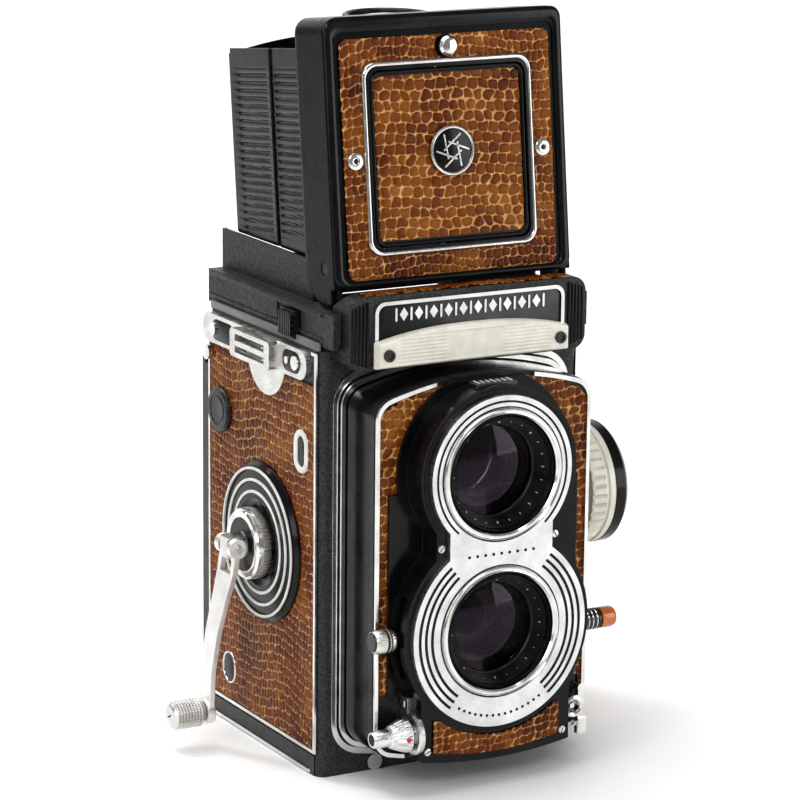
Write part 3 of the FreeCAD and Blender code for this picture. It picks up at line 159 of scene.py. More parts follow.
def enamel(name, dark, light, rough, edge=0.25, coat=0.15, shine=0.3):
    """Sprayed enamel: faint orange peel, dust in the tone, softened edges."""
    mat, kit = shader(name)
    kit.wire("Base Color", kit.ramp(kit.noise(90.0, 5.0), (0.35, dark), (0.75, light)))
    kit.wire("Roughness", kit.spread(kit.noise(260.0, 4.0), rough * 0.75, rough * 1.3))
    kit.wire("Normal", kit.bump(kit.noise(900.0, 2.0), 0.06, 0.05, kit.soft_edge(edge)))
    settle(kit.bsdf, Specular_IOR_Level=shine, Coat_Weight=coat, Coat_Roughness=0.12)
    return mat


def crinkle(name, dark, light):
    """Wrinkle-finish paint."""
    mat, kit = shader(name)
    cells = kit.node("ShaderNodeTexVoronoi", feature="SMOOTH_F1")
    settle(cells, Scale=1700.0)
    kit.link(kit.where, cells.inputs["Vector"])
    kit.wire("Base Color", kit.ramp(cells.outputs["Distance"], (0.1, light), (0.6, dark)))
    kit.wire("Roughness", kit.spread(kit.noise(800.0, 3.0), 0.4, 0.62))
    kit.wire("Normal", kit.bump(cells.outputs["Distance"], 0.75, 0.16, kit.soft_edge(0.25)))
    return mat


def metal(name, dark, light, rough, grain=(1.0, 1.0, 1.0), edge=0.12):
    """Plated or bare metal with a fine directional grain and handling marks."""
    mat, kit = shader(name)
    lines = kit.noise(350.0, 6.0, grain)
    kit.wire("Base Color", kit.ramp(kit.noise(160.0, 5.0), (0.3, dark), (0.7, light)))
    kit.wire("Roughness", kit.spread(lines, rough * 0.7, rough * 1.4))
    kit.wire("Normal", kit.bump(lines, 0.25, 0.02, kit.soft_edge(edge)))
    settle(kit.bsdf, Metallic=1.0)
    return mat


def plastic(name, dark, light, rough, coat=0.2):
    """Moulded plastic with a slightly mottled tone."""
    mat, kit = shader(name)
    kit.wire("Base Color", kit.ramp(kit.noise(220.0, 4.0), (0.3, dark), (0.7, light)))
    kit.wire("Roughness", kit.spread(kit.noise(500.0, 3.0), rough * 0.8, rough * 1.25))
    kit.wire("Normal", kit.bump(kit.noise(1400.0, 2.0), 0.1, 0.05, kit.soft_edge(0.15)))
    settle(kit.bsdf, Coat_Weight=coat)
    return mat


def reptile(name):
    """Dyed reptile hide: dark domed scales between paler seams, glazed on top."""
    mat, kit = shader(name)
    edge = kit.node("ShaderNodeAttribute", attribute_name="scale_dome").outputs["Fac"]
    tint = kit.node("ShaderNodeAttribute", attribute_name="scale_tint").outputs["Fac"]
    patch = kit.node("ShaderNodeMath", operation="MULTIPLY_ADD")
    patch.inputs[1].default_value = 1.7
    patch.inputs[2].default_value = -0.5
    kit.link(kit.noise(75.0, 4.0), patch.inputs[0])
    mixed = kit.node("ShaderNodeMath", operation="MULTIPLY_ADD")
    mixed.inputs[1].default_value = 0.35
    kit.link(tint, mixed.inputs[0])
    kit.link(patch.outputs[0], mixed.inputs[2])
    dye = kit.ramp(
        mixed.outputs[0],
        (0.05, (0.055, 0.008, 0.001)), (0.4, (0.12, 0.025, 0.002)),
        (0.7, (0.185, 0.054, 0.005)), (1.0, (0.27, 0.1, 0.012)),
    )
    seam = kit.ramp(kit.noise(300.0, 4.0), (0.3, (0.36, 0.17, 0.045)), (0.7, (0.66, 0.4, 0.16)))
    blend = kit.node("ShaderNodeMix", data_type="RGBA")
    narrow = kit.node("ShaderNodeMapRange")
    settle(narrow, From_Min=0.06, From_Max=0.36)
    kit.link(edge, narrow.inputs["Value"])
    kit.link(narrow.outputs["Result"], blend.inputs["Factor"])
    kit.link(seam, blend.inputs["A"])
    kit.link(dye, blend.inputs["B"])
    kit.wire("Base Color", blend.outputs["Result"])
    kit.wire("Roughness", kit.spread(kit.noise(900.0, 3.0), 0.2, 0.38))
    kit.wire("Normal", kit.bump(kit.noise(2600.0, 3.0), 0.25, 0.05))
    settle(kit.bsdf, Specular_IOR_Level=0.18, Coat_Weight=0.02, Coat_Roughness=0.15)
    return mat


def coated_glass(name, tint, sheen, rough=0.02):
    """Optical glass; sheen is the colour of its reflections."""
    mat, kit = shader(name)
    deeper = tuple(c * 0.92 for c in tint)
    kit.wire("Base Color", kit.ramp(kit.noise(40.0, 2.0), (0.3, tint), (0.7, deeper)))
    settle(kit.bsdf, Roughness=rough, IOR=1.6, Transmission_Weight=1.0, Specular_Tint=(*sheen, 1.0))
    return mat


BLACK = enamel("black_enamel", (0.006, 0.007, 0.007), (0.013, 0.014, 0.014), 0.3)
GLOSS = enamel("gloss_black", (0.004, 0.004, 0.005), (0.01, 0.01, 0.011), 0.18, 0.3, 0.1, 0.22)
# the lid's enamel is painted darker than the body's black enamel: painted shade on the lid's sides
LID_BLACK_PAINTED_SHADE = enamel("lid_black_painted_shade", (0.002, 0.003, 0.003), (0.006, 0.007, 0.007), 0.26, 1.3, 0.0, 0.12)
WING_BLACK = enamel("wing_black", (0.003, 0.003, 0.003), (0.008, 0.008, 0.008), 0.22, 0.1, 0.0, 0.4)
CRINKLE = crinkle("crinkle_black", (0.005, 0.006, 0.006), (0.04, 0.042, 0.044))
MATT = enamel("matt_black", (0.009, 0.009, 0.009), (0.018, 0.018, 0.018), 0.4, 0.15, 0.0, 0.28)
CHROME = metal("bright_chrome", (0.62, 0.61, 0.59), (0.86, 0.85, 0.83), 0.14)
SATIN = metal("satin_chrome", (0.58, 0.57, 0.55), (0.8, 0.79, 0.77), 0.3, (1.0, 1.0, 6.0))
TURNED = metal("turned_aluminium", (0.6, 0.6, 0.6), (0.82, 0.82, 0.81), 0.32, (4.0, 1.0, 4.0))
GREY = enamel("grey_enamel", (0.14, 0.14, 0.135), (0.2, 0.2, 0.19), 0.4)
CREAM = plastic("cream_plastic", (0.66, 0.64, 0.54), (0.82, 0.8, 0.71), 0.35)
IVORY = plastic("white_infill", (0.6, 0.6, 0.57), (0.8, 0.8, 0.77), 0.4)
AMBER = plastic("amber_plastic", (0.42, 0.1, 0.012), (0.62, 0.19, 0.03), 0.22, 0.6)
BLACK_PLASTIC = plastic("black_plastic", (0.008, 0.008, 0.008), (0.02, 0.02, 0.02), 0.3)
RED = plastic("red_infill", (0.4, 0.012, 0.01), (0.6, 0.03, 0.02), 0.35)
HIDE = reptile("reptile_hide")
GLASS = coated_glass("loupe_glass", (0.93, 0.93, 0.95), (0.8, 0.8, 0.9))
# the lens glass is tinted dark brown-grey: painted shade for the dark inside of the lenses; its sheen is the
# coating's reflection colour
LENS_PAINTED_SHADE = coated_glass("coated_lens_painted_shade", (0.4, 0.36, 0.36), (0.3, 0.26, 0.34))
GROUND = coated_glass("ground_glass", (0.85, 0.88, 0.86), (0.8, 0.8, 0.8), 0.5)
ARM = metal("polished_arm", (0.8, 0.79, 0.77), (0.93, 0.92, 0.9), 0.4, (1.0, 1.0, 3.0), 0.35)
SILVERED = metal("silvered", (0.85, 0.85, 0.86), (0.92, 0.92, 0.92), 0.04)
STEEL = metal("plain_steel", (0.3, 0.3, 0.3), (0.48, 0.47, 0.46), 0.35)

BY_SLOT = {
    "black_enamel": BLACK, "black_crinkle": CRINKLE, "reptile_leather": HIDE, "satin_chrome": SATIN,
    "bright_chrome": CHROME, "satin_aluminium": TURNED, "cream_plastic": CREAM, "amber_plastic": AMBER,
    "black_plastic": BLACK_PLASTIC, "optical_glass": GLASS, "ground_glass": GROUND,
    "mirror_glass": SILVERED, "black_sheet": MATT, "blue_steel": STEEL, "steel": STEEL,
}
OWN = {
    "body_casing": CRINKLE, "hood_lid": LID_BLACK_PAINTED_SHADE, "hood_back_panel": WING_BLACK, "crank_arm": ARM,
    "viewing_glass": LENS_PAINTED_SHADE, "taking_glass": LENS_PAINTED_SHADE, "lens_housing": GLOSS, "lens_sleeve": GLOSS,
    "viewing_barrel": GLOSS, "taking_barrel": GLOSS, "window_frame": GLOSS, "focus_dial": GLOSS,
    "crank_escutcheon": GLOSS,
}
for part in frame["record"]["subparts"]:
    mesh = NODES[part["node"]].data
    mesh.materials.clear()
    mesh.materials.append(OWN.get(part["node"], BY_SLOT[part["material_slot"]]))
# the slot that a piece in each material usually takes
USUAL_SLOT = {look.name: slot for slot, look in BY_SLOT.items()}
USUAL_SLOT.update({look.name: "black_enamel" for look in (GLOSS, GREY, MATT)})
USUAL_SLOT.update({WING_BLACK.name: "black_sheet", IVORY.name: "cream_plastic", RED.name: "amber_plastic"})


# ---- mesh helpers

class Place:
    """A local frame: a point and two axes; the third points out of the surface."""

    def __init__(self, at, across, up):
        self.at, self.across, self.up = Vector(at), Vector(across), Vector(up)
        self.out = self.across.cross(self.up)

    def __call__(self, u, v, w=0.0):
        return self.at + self.across * u + self.up * v + self.out * w

    def moved(self, u, v, w=0.0):
        return Place(self(u, v, w), self.across, self.up)


def facing(direction, at):
    """A frame at a point that looks along -X, +X, -Y or +Y, with up along +Z."""
    across = {"-X": (0, -1, 0), "+X": (0, 1, 0), "-Y": (1, 0, 0), "+Y": (-1, 0, 0)}
    return Place(at, across[direction], (0, 0, 1))


def on_axis(direction, node, x):
    """A frame at x on the line along X through the middle of a node's box."""
    low, high = low_high(node)
    return facing(direction, (x, (low.y + high.y) / 2, (low.z + high.z) / 2))


def fluted(count, depth, above, low=-math.inf, high=math.inf):
    """Flutes for a turned form, where its radius is over one value and its height between two."""
    def shape(turn, radius, height):
        if radius > above and low < height < high:
            return radius - depth * (0.5 + 0.5 * math.cos(count * turn))
        return radius
    return shape


def put(mesh, mat, body, stands_for):
    """Makes a mesh into an object that rides on a body and may stand for CAD nodes."""
    mesh.materials.append(mat)
    obj = add_object(mesh.name, mesh)
    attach(obj, body)
    if stands_for:
        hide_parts(*stands_for)


def piece(name, form, mat, body, stands_for=()):
    """A new mesh object from millimetre points."""
    verts, faces = form
    mesh = bpy.data.meshes.new(name)
    mesh.from_pydata([tuple(Vector(v) * MM) for v in verts], [], faces)
    work = bmesh.new()
    work.from_mesh(mesh)
    bmesh.ops.recalc_face_normals(work, faces=work.faces)
    work.to_mesh(mesh)
    work.free()
    mesh.polygons.foreach_set("use_smooth", [True] * len(mesh.polygons))
    mesh.set_sharp_from_angle(angle=CREASE)
    put(mesh, mat, body, stands_for)


def join_rings(faces, start, rings, count, closed=True):
    """Faces between each ring of count points and the next; closed joins the last to the first too."""
    for k in range(rings if closed else rings - 1):
        here, there = start + k * count, start + (k + 1) % rings * count
        for j in range(count):
            n = (j + 1) % count
            faces.append((here + j, there + j, there + n, here + n))


def add_lathe(form, place, profile, segments, shape=None):
    """Adds a turned form: (radius, height out of the surface) points round the frame's middle."""
    verts, faces = form
    start, count = len(verts), len(profile)
    for k in range(segments):
        turn = 2 * math.pi * k / segments
        for radius, height in profile:
            if shape:
                radius = shape(turn, radius, height)
            verts.append(place(radius * math.cos(turn), radius * math.sin(turn), height))
    join_rings(faces, start, segments, count)


def lathe(name, place, profile, mat, body, segments=96, shape=None, stands_for=()):
    form = ([], [])
    add_lathe(form, place, profile, segments, shape)
    piece(name, form, mat, body, stands_for)


def add_prism(form, place, outline, low, high, round_over=0.0):
    """Adds a plate with the outline's shape; its front edge may be rounded over."""
    verts, faces = form
    middle = Vector((sum(p[0] for p in outline), sum(p[1] for p in outline))) / len(outline)
    layers = [(0.0, low), (0.0, high - round_over)]
    if round_over:
        for k in (1, 2, 3):
            a = math.pi / 6 * k
            layers.append((round_over * (1 - math.cos(a)), high - round_over * (1 - math.sin(a))))
    count, start = len(outline), len(verts)
    for inset, height in layers:
        for u, v in outline:
            d = Vector((u, v)) - middle
            reach = max(d.length, 1e-6)
            verts.append(place(u - d.x / reach * inset, v - d.y / reach * inset, height))
    join_rings(faces, start, len(layers), count, False)
    faces.append(tuple(start + k for k in reversed(range(count))))
    top = start + (len(layers) - 1) * count
    faces.append(tuple(top + k for k in range(count)))


def round_rect(half_u, half_v, radius, steps=8, at=(0, 0)):
    """A rounded rectangle, as points counter-clockwise."""
    points = []
    for k, (su, sv) in enumerate(((1, 1), (-1, 1), (-1, -1), (1, -1))):
        for j in range(steps + 1):
            a = math.pi / 2 * (k + j / steps)
            points.append((
                at[0] + su * (half_u - radius) + radius * math.cos(a),
                at[1] + sv * (half_v - radius) + radius * math.sin(a),
            ))
    return points


def disc_outline(radius, steps, at=(0, 0)):
    turns = [2 * math.pi * k / steps for k in range(steps)]
    return [(at[0] + radius * math.cos(a), at[1] + radius * math.sin(a)) for a in turns]


def prism(name, place, outline, low, high, mat, body, round_over=0.0):
    form = ([], [])
    add_prism(form, place, outline, low, high, round_over)
    piece(name, form, mat, body)


def band(name, place, outer, inner, height, mat, body, stands_for=()):
    """A raised rim with a rounded top, between two outlines with equal counts."""
    profile = [(0.0, 0.0)]
    for k in range(7):
        a = math.pi * k / 6
        profile.append((0.5 - 0.5 * math.cos(a), height * (0.45 + 0.55 * math.sin(a))))
    profile.append((1.0, 0.0))
    verts, faces = [], []
    for (ou, ov), (iu, iv) in zip(outer, inner):
        for share, rise in profile:
            verts.append(place(ou + (iu - ou) * share, ov + (iv - ov) * share, rise))
    join_rings(faces, 0, len(outer), len(profile))
    piece(name, (verts, faces), mat, body, stands_for)


def rim_band(name, place, outer, inner, height, mat, body, at=(0, 0), steps=8, stands_for=()):
    """A raised rim between two rounded rectangles, each (half width, half height, radius)."""
    band(name, place, round_rect(*outer, steps, at), round_rect(*inner, steps, at), height, mat, body,
         stands_for)


def arc_strip(form, place, radius, width, start_deg, end_deg, low, high, steps=48):
    """Adds a flat curved strip on a face."""
    verts, faces = form
    first = len(verts)
    for k in range(steps + 1):
        a = math.radians(start_deg + (end_deg - start_deg) * k / steps)
        for r, h in ((radius - width / 2, low), (radius - width / 2, high), (radius + width / 2, high),
                     (radius + width / 2, low)):
            verts.append(place(r * math.cos(a), r * math.sin(a), h))
    join_rings(faces, first, steps + 1, 4, False)
    faces.append(tuple(first + j for j in range(4)))
    faces.append(tuple(first + 4 * steps + j for j in reversed(range(4))))


def oblong(half_u, half_v):
    return [(-half_u, -half_v), (half_u, -half_v), (half_u, half_v), (-half_u, half_v)]


def add_tick(form, place, turn, radius, height, half_long, half_wide, low, high):
    """Adds a radial bar at one turn and radius of a face."""
    along = place.across * math.cos(turn) + place.up * math.sin(turn)
    bar = Place(place.at + along * radius + place.out * height, along, place.out.cross(along))
    add_prism(form, bar, oblong(half_long, half_wide), low, high)


def screws(tag, mat, body, heads):
    """Domed screws, and matt black bars set into their heads as painted shade for their slots, as a second
    piece; heads are (place, radius, height, turn).
    """
    domes, painted_slot_shades = ([], []), ([], [])
    for place, radius, height, turn in heads:
        dome = [(0.0, 0.0), (radius, 0.0), (radius, height * 0.55), (radius * 0.85, height * 0.85),
                (radius * 0.5, height * 0.97), (0.0, height)]
        add_lathe(domes, place, dome, 28)
        c, s = math.cos(turn), math.sin(turn)
        turned = [(u * c - v * s, u * s + v * c) for u, v in oblong(radius * 0.86, radius * 0.14)]
        # each slot is a matt black bar through the dome: painted shade where the groove would be
        add_prism(painted_slot_shades, place, turned, height * 0.5, height * 1.02)
    ending = "s" if len(heads) > 1 else ""
    piece(f"{tag}_screw{ending}", domes, mat, body)
    piece(f"{tag}_slot{ending}", painted_slot_shades, MATT, body)


def sheet_faces(rows, columns):
    """Faces of a closed sheet whose points are two layers of rows by columns."""
    size = rows * columns
    faces = []
    for layer in (0, size):
        for i in range(rows - 1):
            for j in range(columns - 1):
                a = layer + i * columns + j
                faces.append((a, a + columns, a + columns + 1, a + 1))
    border = [i * columns for i in range(rows)] + [size - columns + j for j in range(1, columns)]
    border += [i * columns + columns - 1 for i in reversed(range(rows - 1))]
    border += [j for j in reversed(range(1, columns - 1))]
    for a, b in zip(border, border[1:] + border[:1]):
        faces.append((a, b, b + size, a + size))
    return faces


# ---- leather

def hide_panel(name, place, size, inside, body, thick, rows, seed, stands_for=(), step=0.3, depth=0.34):
    """A panel of reptile hide in relief: rows of domed scales, cut to a region.

    rows is (row height, scale width, squareness, stagger, sway); the scales run in swaying rows.
    """
    row_high, wide, square, stagger, sway = rows
    u_low, u_high, v_low, v_high = size
    nu, nv = int((u_high - u_low) / step) + 2, int((v_high - v_low) / step) + 2
    u = np.linspace(u_low, u_high, nu)[:, None] * np.ones((1, nv))
    v = np.linspace(v_low, v_high, nv)[None, :] * np.ones((nu, 1))
    phase = seed * 1.7
    bent_v = v + sway * np.sin(u / 11.3 + phase) + 0.45 * sway * np.sin(u / 4.7 + v / 23.0 + 2.1 * phase)
    bent_v = bent_v + 0.6 * sway * np.sin(v / 17.0 + phase)
    bent_v = bent_v + 0.13 * row_high * np.sin(1.15 * u + 0.62 * v + phase) * np.sin(0.41 * u - 0.3 * v)
    row = np.floor(bent_v / row_high)
    across = bent_v / row_high - row
    jitter = np.mod(np.sin(row * 12.9898 + seed * 78.233) * 43758.5453, 1.0)
    bent_u = u + 0.9 * np.sin(v / 9.1 + 3.0 * phase) + 0.26 * np.sin(2.0 * u + 9.0 * jitter)
    bent_u = bent_u + 0.2 * wide * np.sin(0.83 * v + 0.37 * u + 2.0 * phase) * np.sin(0.29 * u + 0.55 * v)
    bent_u = bent_u / (wide * (0.86 + 0.3 * jitter)) + stagger * np.mod(row, 2.0) + 0.35 * jitter
    column = np.floor(bent_u)
    along = bent_u - column
    tint = np.mod(np.sin(row * 37.719 + column * 91.31 + seed * 5.1) * 24634.6345, 1.0)
    reach = (np.abs(2 * along - 1) ** square + np.abs(2 * across - 1) ** square) ** (1.0 / square)
    dome = np.clip((1.03 - reach) / 0.42, 0.0, 1.0)
    dome = dome * dome * (3 - 2 * dome)
    height = thick - depth + depth * dome * (0.8 + 0.2 * tint) - 0.02
    keep = np.vectorize(inside)(u, v)
    index = -np.ones((nu, nv), int)
    index[keep] = np.arange(int(keep.sum()))
    axes = np.array([place.across, place.up, place.out])
    points = np.array(place.at) + np.stack([u[keep], v[keep], height[keep]], 1) @ axes
    quads = np.stack([index[:-1, :-1], index[1:, :-1], index[1:, 1:], index[:-1, 1:]], -1).reshape(-1, 4)
    quads = quads[(quads >= 0).all(axis=1)]
    mesh = bpy.data.meshes.new(name)
    mesh.from_pydata((points * MM).tolist(), [], quads.tolist())
    mesh.polygons.foreach_set("use_smooth", [True] * len(mesh.polygons))
    for label, values in (("scale_dome", dome[keep]), ("scale_tint", tint[keep])):
        layer = mesh.attributes.new(label, "FLOAT", "POINT")
        layer.data.foreach_set("value", values.astype(np.float32))
    put(mesh, HIDE, body, stands_for)


def in_round_rect(u, v, half_u, half_v, radius, at=(0, 0)):
    du = max(abs(u - at[0]) - half_u + radius, 0.0)
    dv = max(abs(v - at[1]) - half_v + radius, 0.0)
    return du * du + dv * dv <= radius * radius


# ---- reference places, in millimetres

BODY_HALF = low_high("body_casing")[1].x
BODY_TOP = low_high("body_casing")[1].z
STANDARD, HOUSE, BEZEL = (low_high(node)[0].y for node in ("front_standard", "lens_housing", "lens_bezel"))
LENS_SPACING = 42.0
TAKE_Z = 42.64
VIEW_Z = TAKE_Z + LENS_SPACING
CRANK = (-3.0, 57.4)  # y and z of the crank's axis
LOW_BUTTON = (17.6, 16.4)  # y and z of the button behind the crank's arm
LEAN = math.radians(6.57)
LID = Place((0, -34.87, 131.06), (1, 0, 0), (0, math.sin(LEAN), math.cos(LEAN)))
MIDDLE_HINGE = 36.5  # depth below the lid of the hinge between the side wings
WINDOW = (0, 32.6)  # middle of the finder window, in the lid's frame
BACK_MIDDLE = (0, 51.3)
# row height, scale width, squareness, stagger and sway of the hide's scales
LONG_SCALES = (2.5, 1.75, 5.0, 0.5, 1.6)
ROUND_SCALES = (2.5, 2.5, 3.8, 0.5, 0.9)


# ---- leather pieces

def side_leathers():
    low, high = low_high("side_leather")
    for tag, (side, way) in zip(("left", "right"), SIDES):
        # on the left face the local u axis runs towards -Y
        ends = sorted((side * (low.y + 0.05), side * (high.y - 0.05)))

        def inside(u, v, side=side):
            y = side * u
            if v > 105.9:
                return False
            if side > 0:
                return math.hypot(y + 24.7, v - 69.0) > 12.5
            if math.hypot(y - CRANK[0], v - CRANK[1]) < 21.3 or math.hypot(y - 22.4, v - 88.4) < 5.6:
                return False
            if in_round_rect(y, v, 3.2, 5.2, 3.0, (-24.8, 87.0)):
                return False
            return not in_round_rect(y, v, 3.4, 4.1, 3.3, LOW_BUTTON)

        hide_panel(f"hide_{tag}", facing(way, (side * BODY_HALF, 0, 0)), (*ends, low.z + 0.05, 106.0), inside,
                   "body", 0.6, LONG_SCALES, 3 + side, ("side_leather",) if side < 0 else ())


def lid_leathers():
    def on_lid(u, v):
        if in_round_rect(u, v, 24.6, 24.4, 3.8, WINDOW) or math.hypot(u, v - 60.6) <= 2.9:
            return False
        return in_round_rect(u, v, 31.35, 31.15, 2.6, (0, 32.8)) and math.hypot(abs(u) - 27.9, v - 32.6) > 1.6

    def on_flap(u, v):
        return in_round_rect(u, v, 21.85, 21.4, 2.0, (0, 32.65))

    hide_panel("hide_lid", LID, (-31.4, 31.4, 1.6, 64.0), on_lid, "lid", 0.6,
               (2.5, 2.1, 5.0, 0.5, 1.3), 7, ("lid_leather",))
    hide_panel("hide_flap", LID, (-21.9, 21.9, 11.2, 54.1), on_flap, "sports_flap", 0.6,
               (2.75, 2.8, 3.9, 0.5, 0.8), 11, ("flap_leather",))


def front_leathers():
    """The hide between the standard's piping and the housing, and the strip at the housing's foot."""
    high_side, high_mid, low_side, low_mid, half = 104.2, 109.6, 10.6, 6.2, 32.2
    piping = 1.1

    def on_front(u, v):
        if abs(u) > half - piping:
            return False
        top = high_mid - (high_mid - high_side) * (u / half) ** 2 - piping
        foot = low_mid + (low_side - low_mid) * (u / half) ** 2 + piping
        if not foot < v < top:
            return False
        corner = (abs(u) - (half - 6.0), abs(v - 57) - 41.6)
        if min(corner) > 0 and math.hypot(*corner) > 5.0:
            return False
        if v > 80 and math.hypot(u, v - VIEW_Z) < 25.6:
            return False
        if 26.4 < v < 79.6 and abs(u) < 28.0:
            return False
        if v < 30 and (abs(u) < 22.2 or (u < -19 and v < 26.4)):
            return False
        if u > 19 and (v < 23.8 if 28.2 < u < 30.0 else v < 26.6 and u <= 28.2):
            return False
        return math.hypot(u, v - TAKE_Z) > 27.4 or v > 60

    def on_foot(u, v):
        return abs(u) < 19.3 and v > 9.5 + 2.9 * (u / 22) ** 2 and math.hypot(u, v - TAKE_Z) > 28.0

    hide_panel("hide_front", facing("-Y", (0, STANDARD, 0)), (-half, half, low_mid, high_mid), on_front,
               "standard", 0.6, ROUND_SCALES, 5, ("front_leather",))
    hide_panel("hide_foot", facing("-Y", (0, HOUSE, 0)), (-19.6, 19.6, 8.8, 20.4), on_foot, "standard", 0.6,
               (2.0, 2.1, 4.2, 0.5, 0.7), 9)


def back_leather():
    """The door's hide with the bright bead round it."""
    back = facing("+Y", (0, 35.0, 0))
    hide_panel("hide_back", back, (-36.4, 36.4, 3.0, 99.6),
               lambda u, v: in_round_rect(u, v, 36.3, 48.2, 3.0, BACK_MIDDLE),
               "door", 0.55, LONG_SCALES, 13, step=0.42)
    rim_band("back_bead", back, (37.3, 49.2, 3.8), (36.2, 48.1, 2.8), 0.6, CHROME, "door", BACK_MIDDLE)


def top_leather():
    """A strip of hide along the top of the nameplate housing."""
    top = Place((0, -40.2, 130.38), (1, 0, 0), (0, 1, 0))
    hide_panel("hide_band", top, (-30.5, 30.5, -2.2, 2.2), lambda u, v: True, "body", 0.5,
               (2.2, 1.9, 4.0, 0.5, 0.2), 21)


# ---- hood

def hood_details():
    outer, inner = round_rect(35.1, 34.6, 3.0, 8, (0, 34.7)), round_rect(32.4, 31.9, 2.4, 8, (0, 33.6))
    band("lid_rim", LID, outer, inner, 0.85, GLOSS, "lid")
    # the flap's black lip, inside the bright bead of the finder window
    rim_band("window_lip", LID, (22.9, 22.7, 3.0), (21.8, 21.6, 2.2), 1.0, GLOSS, "sports_flap", WINDOW)
    rim_band("window_bead", LID, (25.2, 25.0, 4.1), (23.8, 23.6, 3.3), 1.4, CHROME, "lid", WINDOW)
    for half, hinge, odd in (("front", 12.0, 0), ("rear", MIDDLE_HINGE, 1)):
        wing(f"{half}_wing_left", -1, hinge, odd)
        wing(f"{half}_wing_right", 1, hinge, odd)
    # ribs of the back panel
    ribs = ([], [])
    back = Place(LID(0, 0, -62.4), -LID.across, LID.up)
    for k in range(16):
        add_prism(ribs, back, round_rect(27.5, 0.45, 0.44, 4, (0, 18 + 2.4 * k)), -0.05, 0.32, 0.2)
    piece("back_panel_ribs", ribs, WING_BLACK, "hood_back_panel")
    # two lips along the base's ledge, and the paler strip on the casing's top
    lips, strips = ([], []), ([], [])
    for side, way in SIDES:
        flat = facing(way, (side * 38.0, 0, 0))
        add_prism(lips, flat, round_rect(32.8, 0.62, 0.6, 4, (side * -0.6, 124.6)), -0.3, 0.55, 0.3)
        add_prism(lips, flat, round_rect(32.8, 0.4, 0.38, 4, (side * -0.6, 118.4)), -0.3, 0.3, 0.15)
        flat = facing(way, (side * 38.25, 0, 0))
        strip = round_rect(31.6, 1.1, 0.5, 4, (side * -1.2, BODY_TOP + 1.1))
        add_prism(strips, flat, strip, -0.15, 0.55, 0.3)
    piece("ledge_lips", lips, CRINKLE, "hood")
    piece("top_strip", strips, GREY, "body")
    knob = [(0, 1.0), (1.6, 1.0), (2.5, 1.3), (2.6, 2.2), (2.0, 3.0), (0.8, 3.3), (0, 3.3)]
    lathe("lid_knob_cap", LID.moved(0, 60.6), knob, CHROME, "lid_knob", 40,
          lambda turn, radius, height: radius * (1 + 0.02 * math.cos(20 * turn)) if radius > 2.4 else radius)
    for tag, side in (("left", -1), ("right", 1)):
        eye = LID.moved(side * 27.9, 32.6)
        rim = [(0.75, 0.6), (0.8, 1.25), (1.5, 1.35), (2.2, 1.0), (2.35, 0.5), (2.2, 0.3)]
        lathe(f"eyelet_rim_{tag}", eye, rim, CHROME, "lid", 32)
        well = [(0.0, 0.95), (0.8, 0.95), (0.8, 0.5), (0.0, 0.5)]
        lathe(f"eyelet_well_{tag}", eye, well, MATT, "lid", 24)


def wing(node, side, hinge, odd):
    """A folding side wing: a sheet pressed into level ribs, with its half of the middle hinge."""
    top, gap, width = 61.5, 0.7, 24.5
    face, thick, groove = 32.1, 0.8, 0.62
    rib_low, rib_high, rib_pitch, fade = 11.6, 56.6, 2.05, 0.6
    foot_at_lid, foot_slope = 6.4, 0.115
    start, end = hinge + gap, hinge + width - gap
    place = Place(LID(0, 0, 0), (0, 0, 0), LID.up)
    place.across = -LID.out
    place.out = LID.across * side
    margin = 3.6 if odd else 1.2
    deeps = [start, start + 1.2, start + 1.8, start + 2.4]
    deeps += [start + 3 + (end - margin - start - 5) * k / 3 for k in range(4)]
    deeps += [end - margin - 1.2, end - margin - 0.6, end - margin, end]
    ups = np.linspace(0.0, 1.0, 380)
    verts = []
    for layer in (0, 1):
        for deep in deeps:
            foot = foot_at_lid + foot_slope * (deep - 12.0)
            for share in ups:
                c = foot + (top - foot) * share
                x = face - thick
                if layer:
                    across = min((deep - start - 1.2) / 1.2, (end - deep - margin) / 1.2, 1.0)
                    along = min((c - rib_low) / fade, (rib_high - c) / fade, 1.0)
                    mask = max(min(across, along), 0.0)
                    swell = 2 * ((c - rib_low) / rib_pitch % 1.0) - 1
                    x = face - groove * mask * (1 - math.sqrt(1 - swell * swell))
                verts.append(place(deep, c, x))
    form = (verts, sheet_faces(len(deeps), len(ups)))
    # every second knuckle of the middle hinge
    first = foot_at_lid + foot_slope * width + 0.4
    pitch = (top - first) / 6
    for k in range(odd, 6, 2):
        tube = Place(place(MIDDLE_HINGE, first + pitch * k + 0.15, 32.2), place.across, place.out)
        tube.out = place.up
        add_lathe(form, tube, [(0, 0), (0.5, 0), (0.5, pitch - 0.3), (0, pitch - 0.3)], 14)
    piece(f"{node}_pressed", form, WING_BLACK, node, (node,))


def loupe_ring():
    """A fluted rim on the loupe's ring."""
    low, high = low_high("loupe_lens")
    tilt = math.radians(7.0) - LEAN
    up = Vector((0, -math.sin(tilt), math.cos(tilt)))
    place = Place((low + high) / 2, (1, 0, 0), up.cross(Vector((1, 0, 0))))
    rim = [(10.9, -1.1), (12.25, -1.1), (12.25, 1.3), (11.6, 1.6), (10.9, 1.2)]
    lathe("loupe_rim", place, rim, BLACK, "loupe", 120, fluted(60, 0.22, 12))


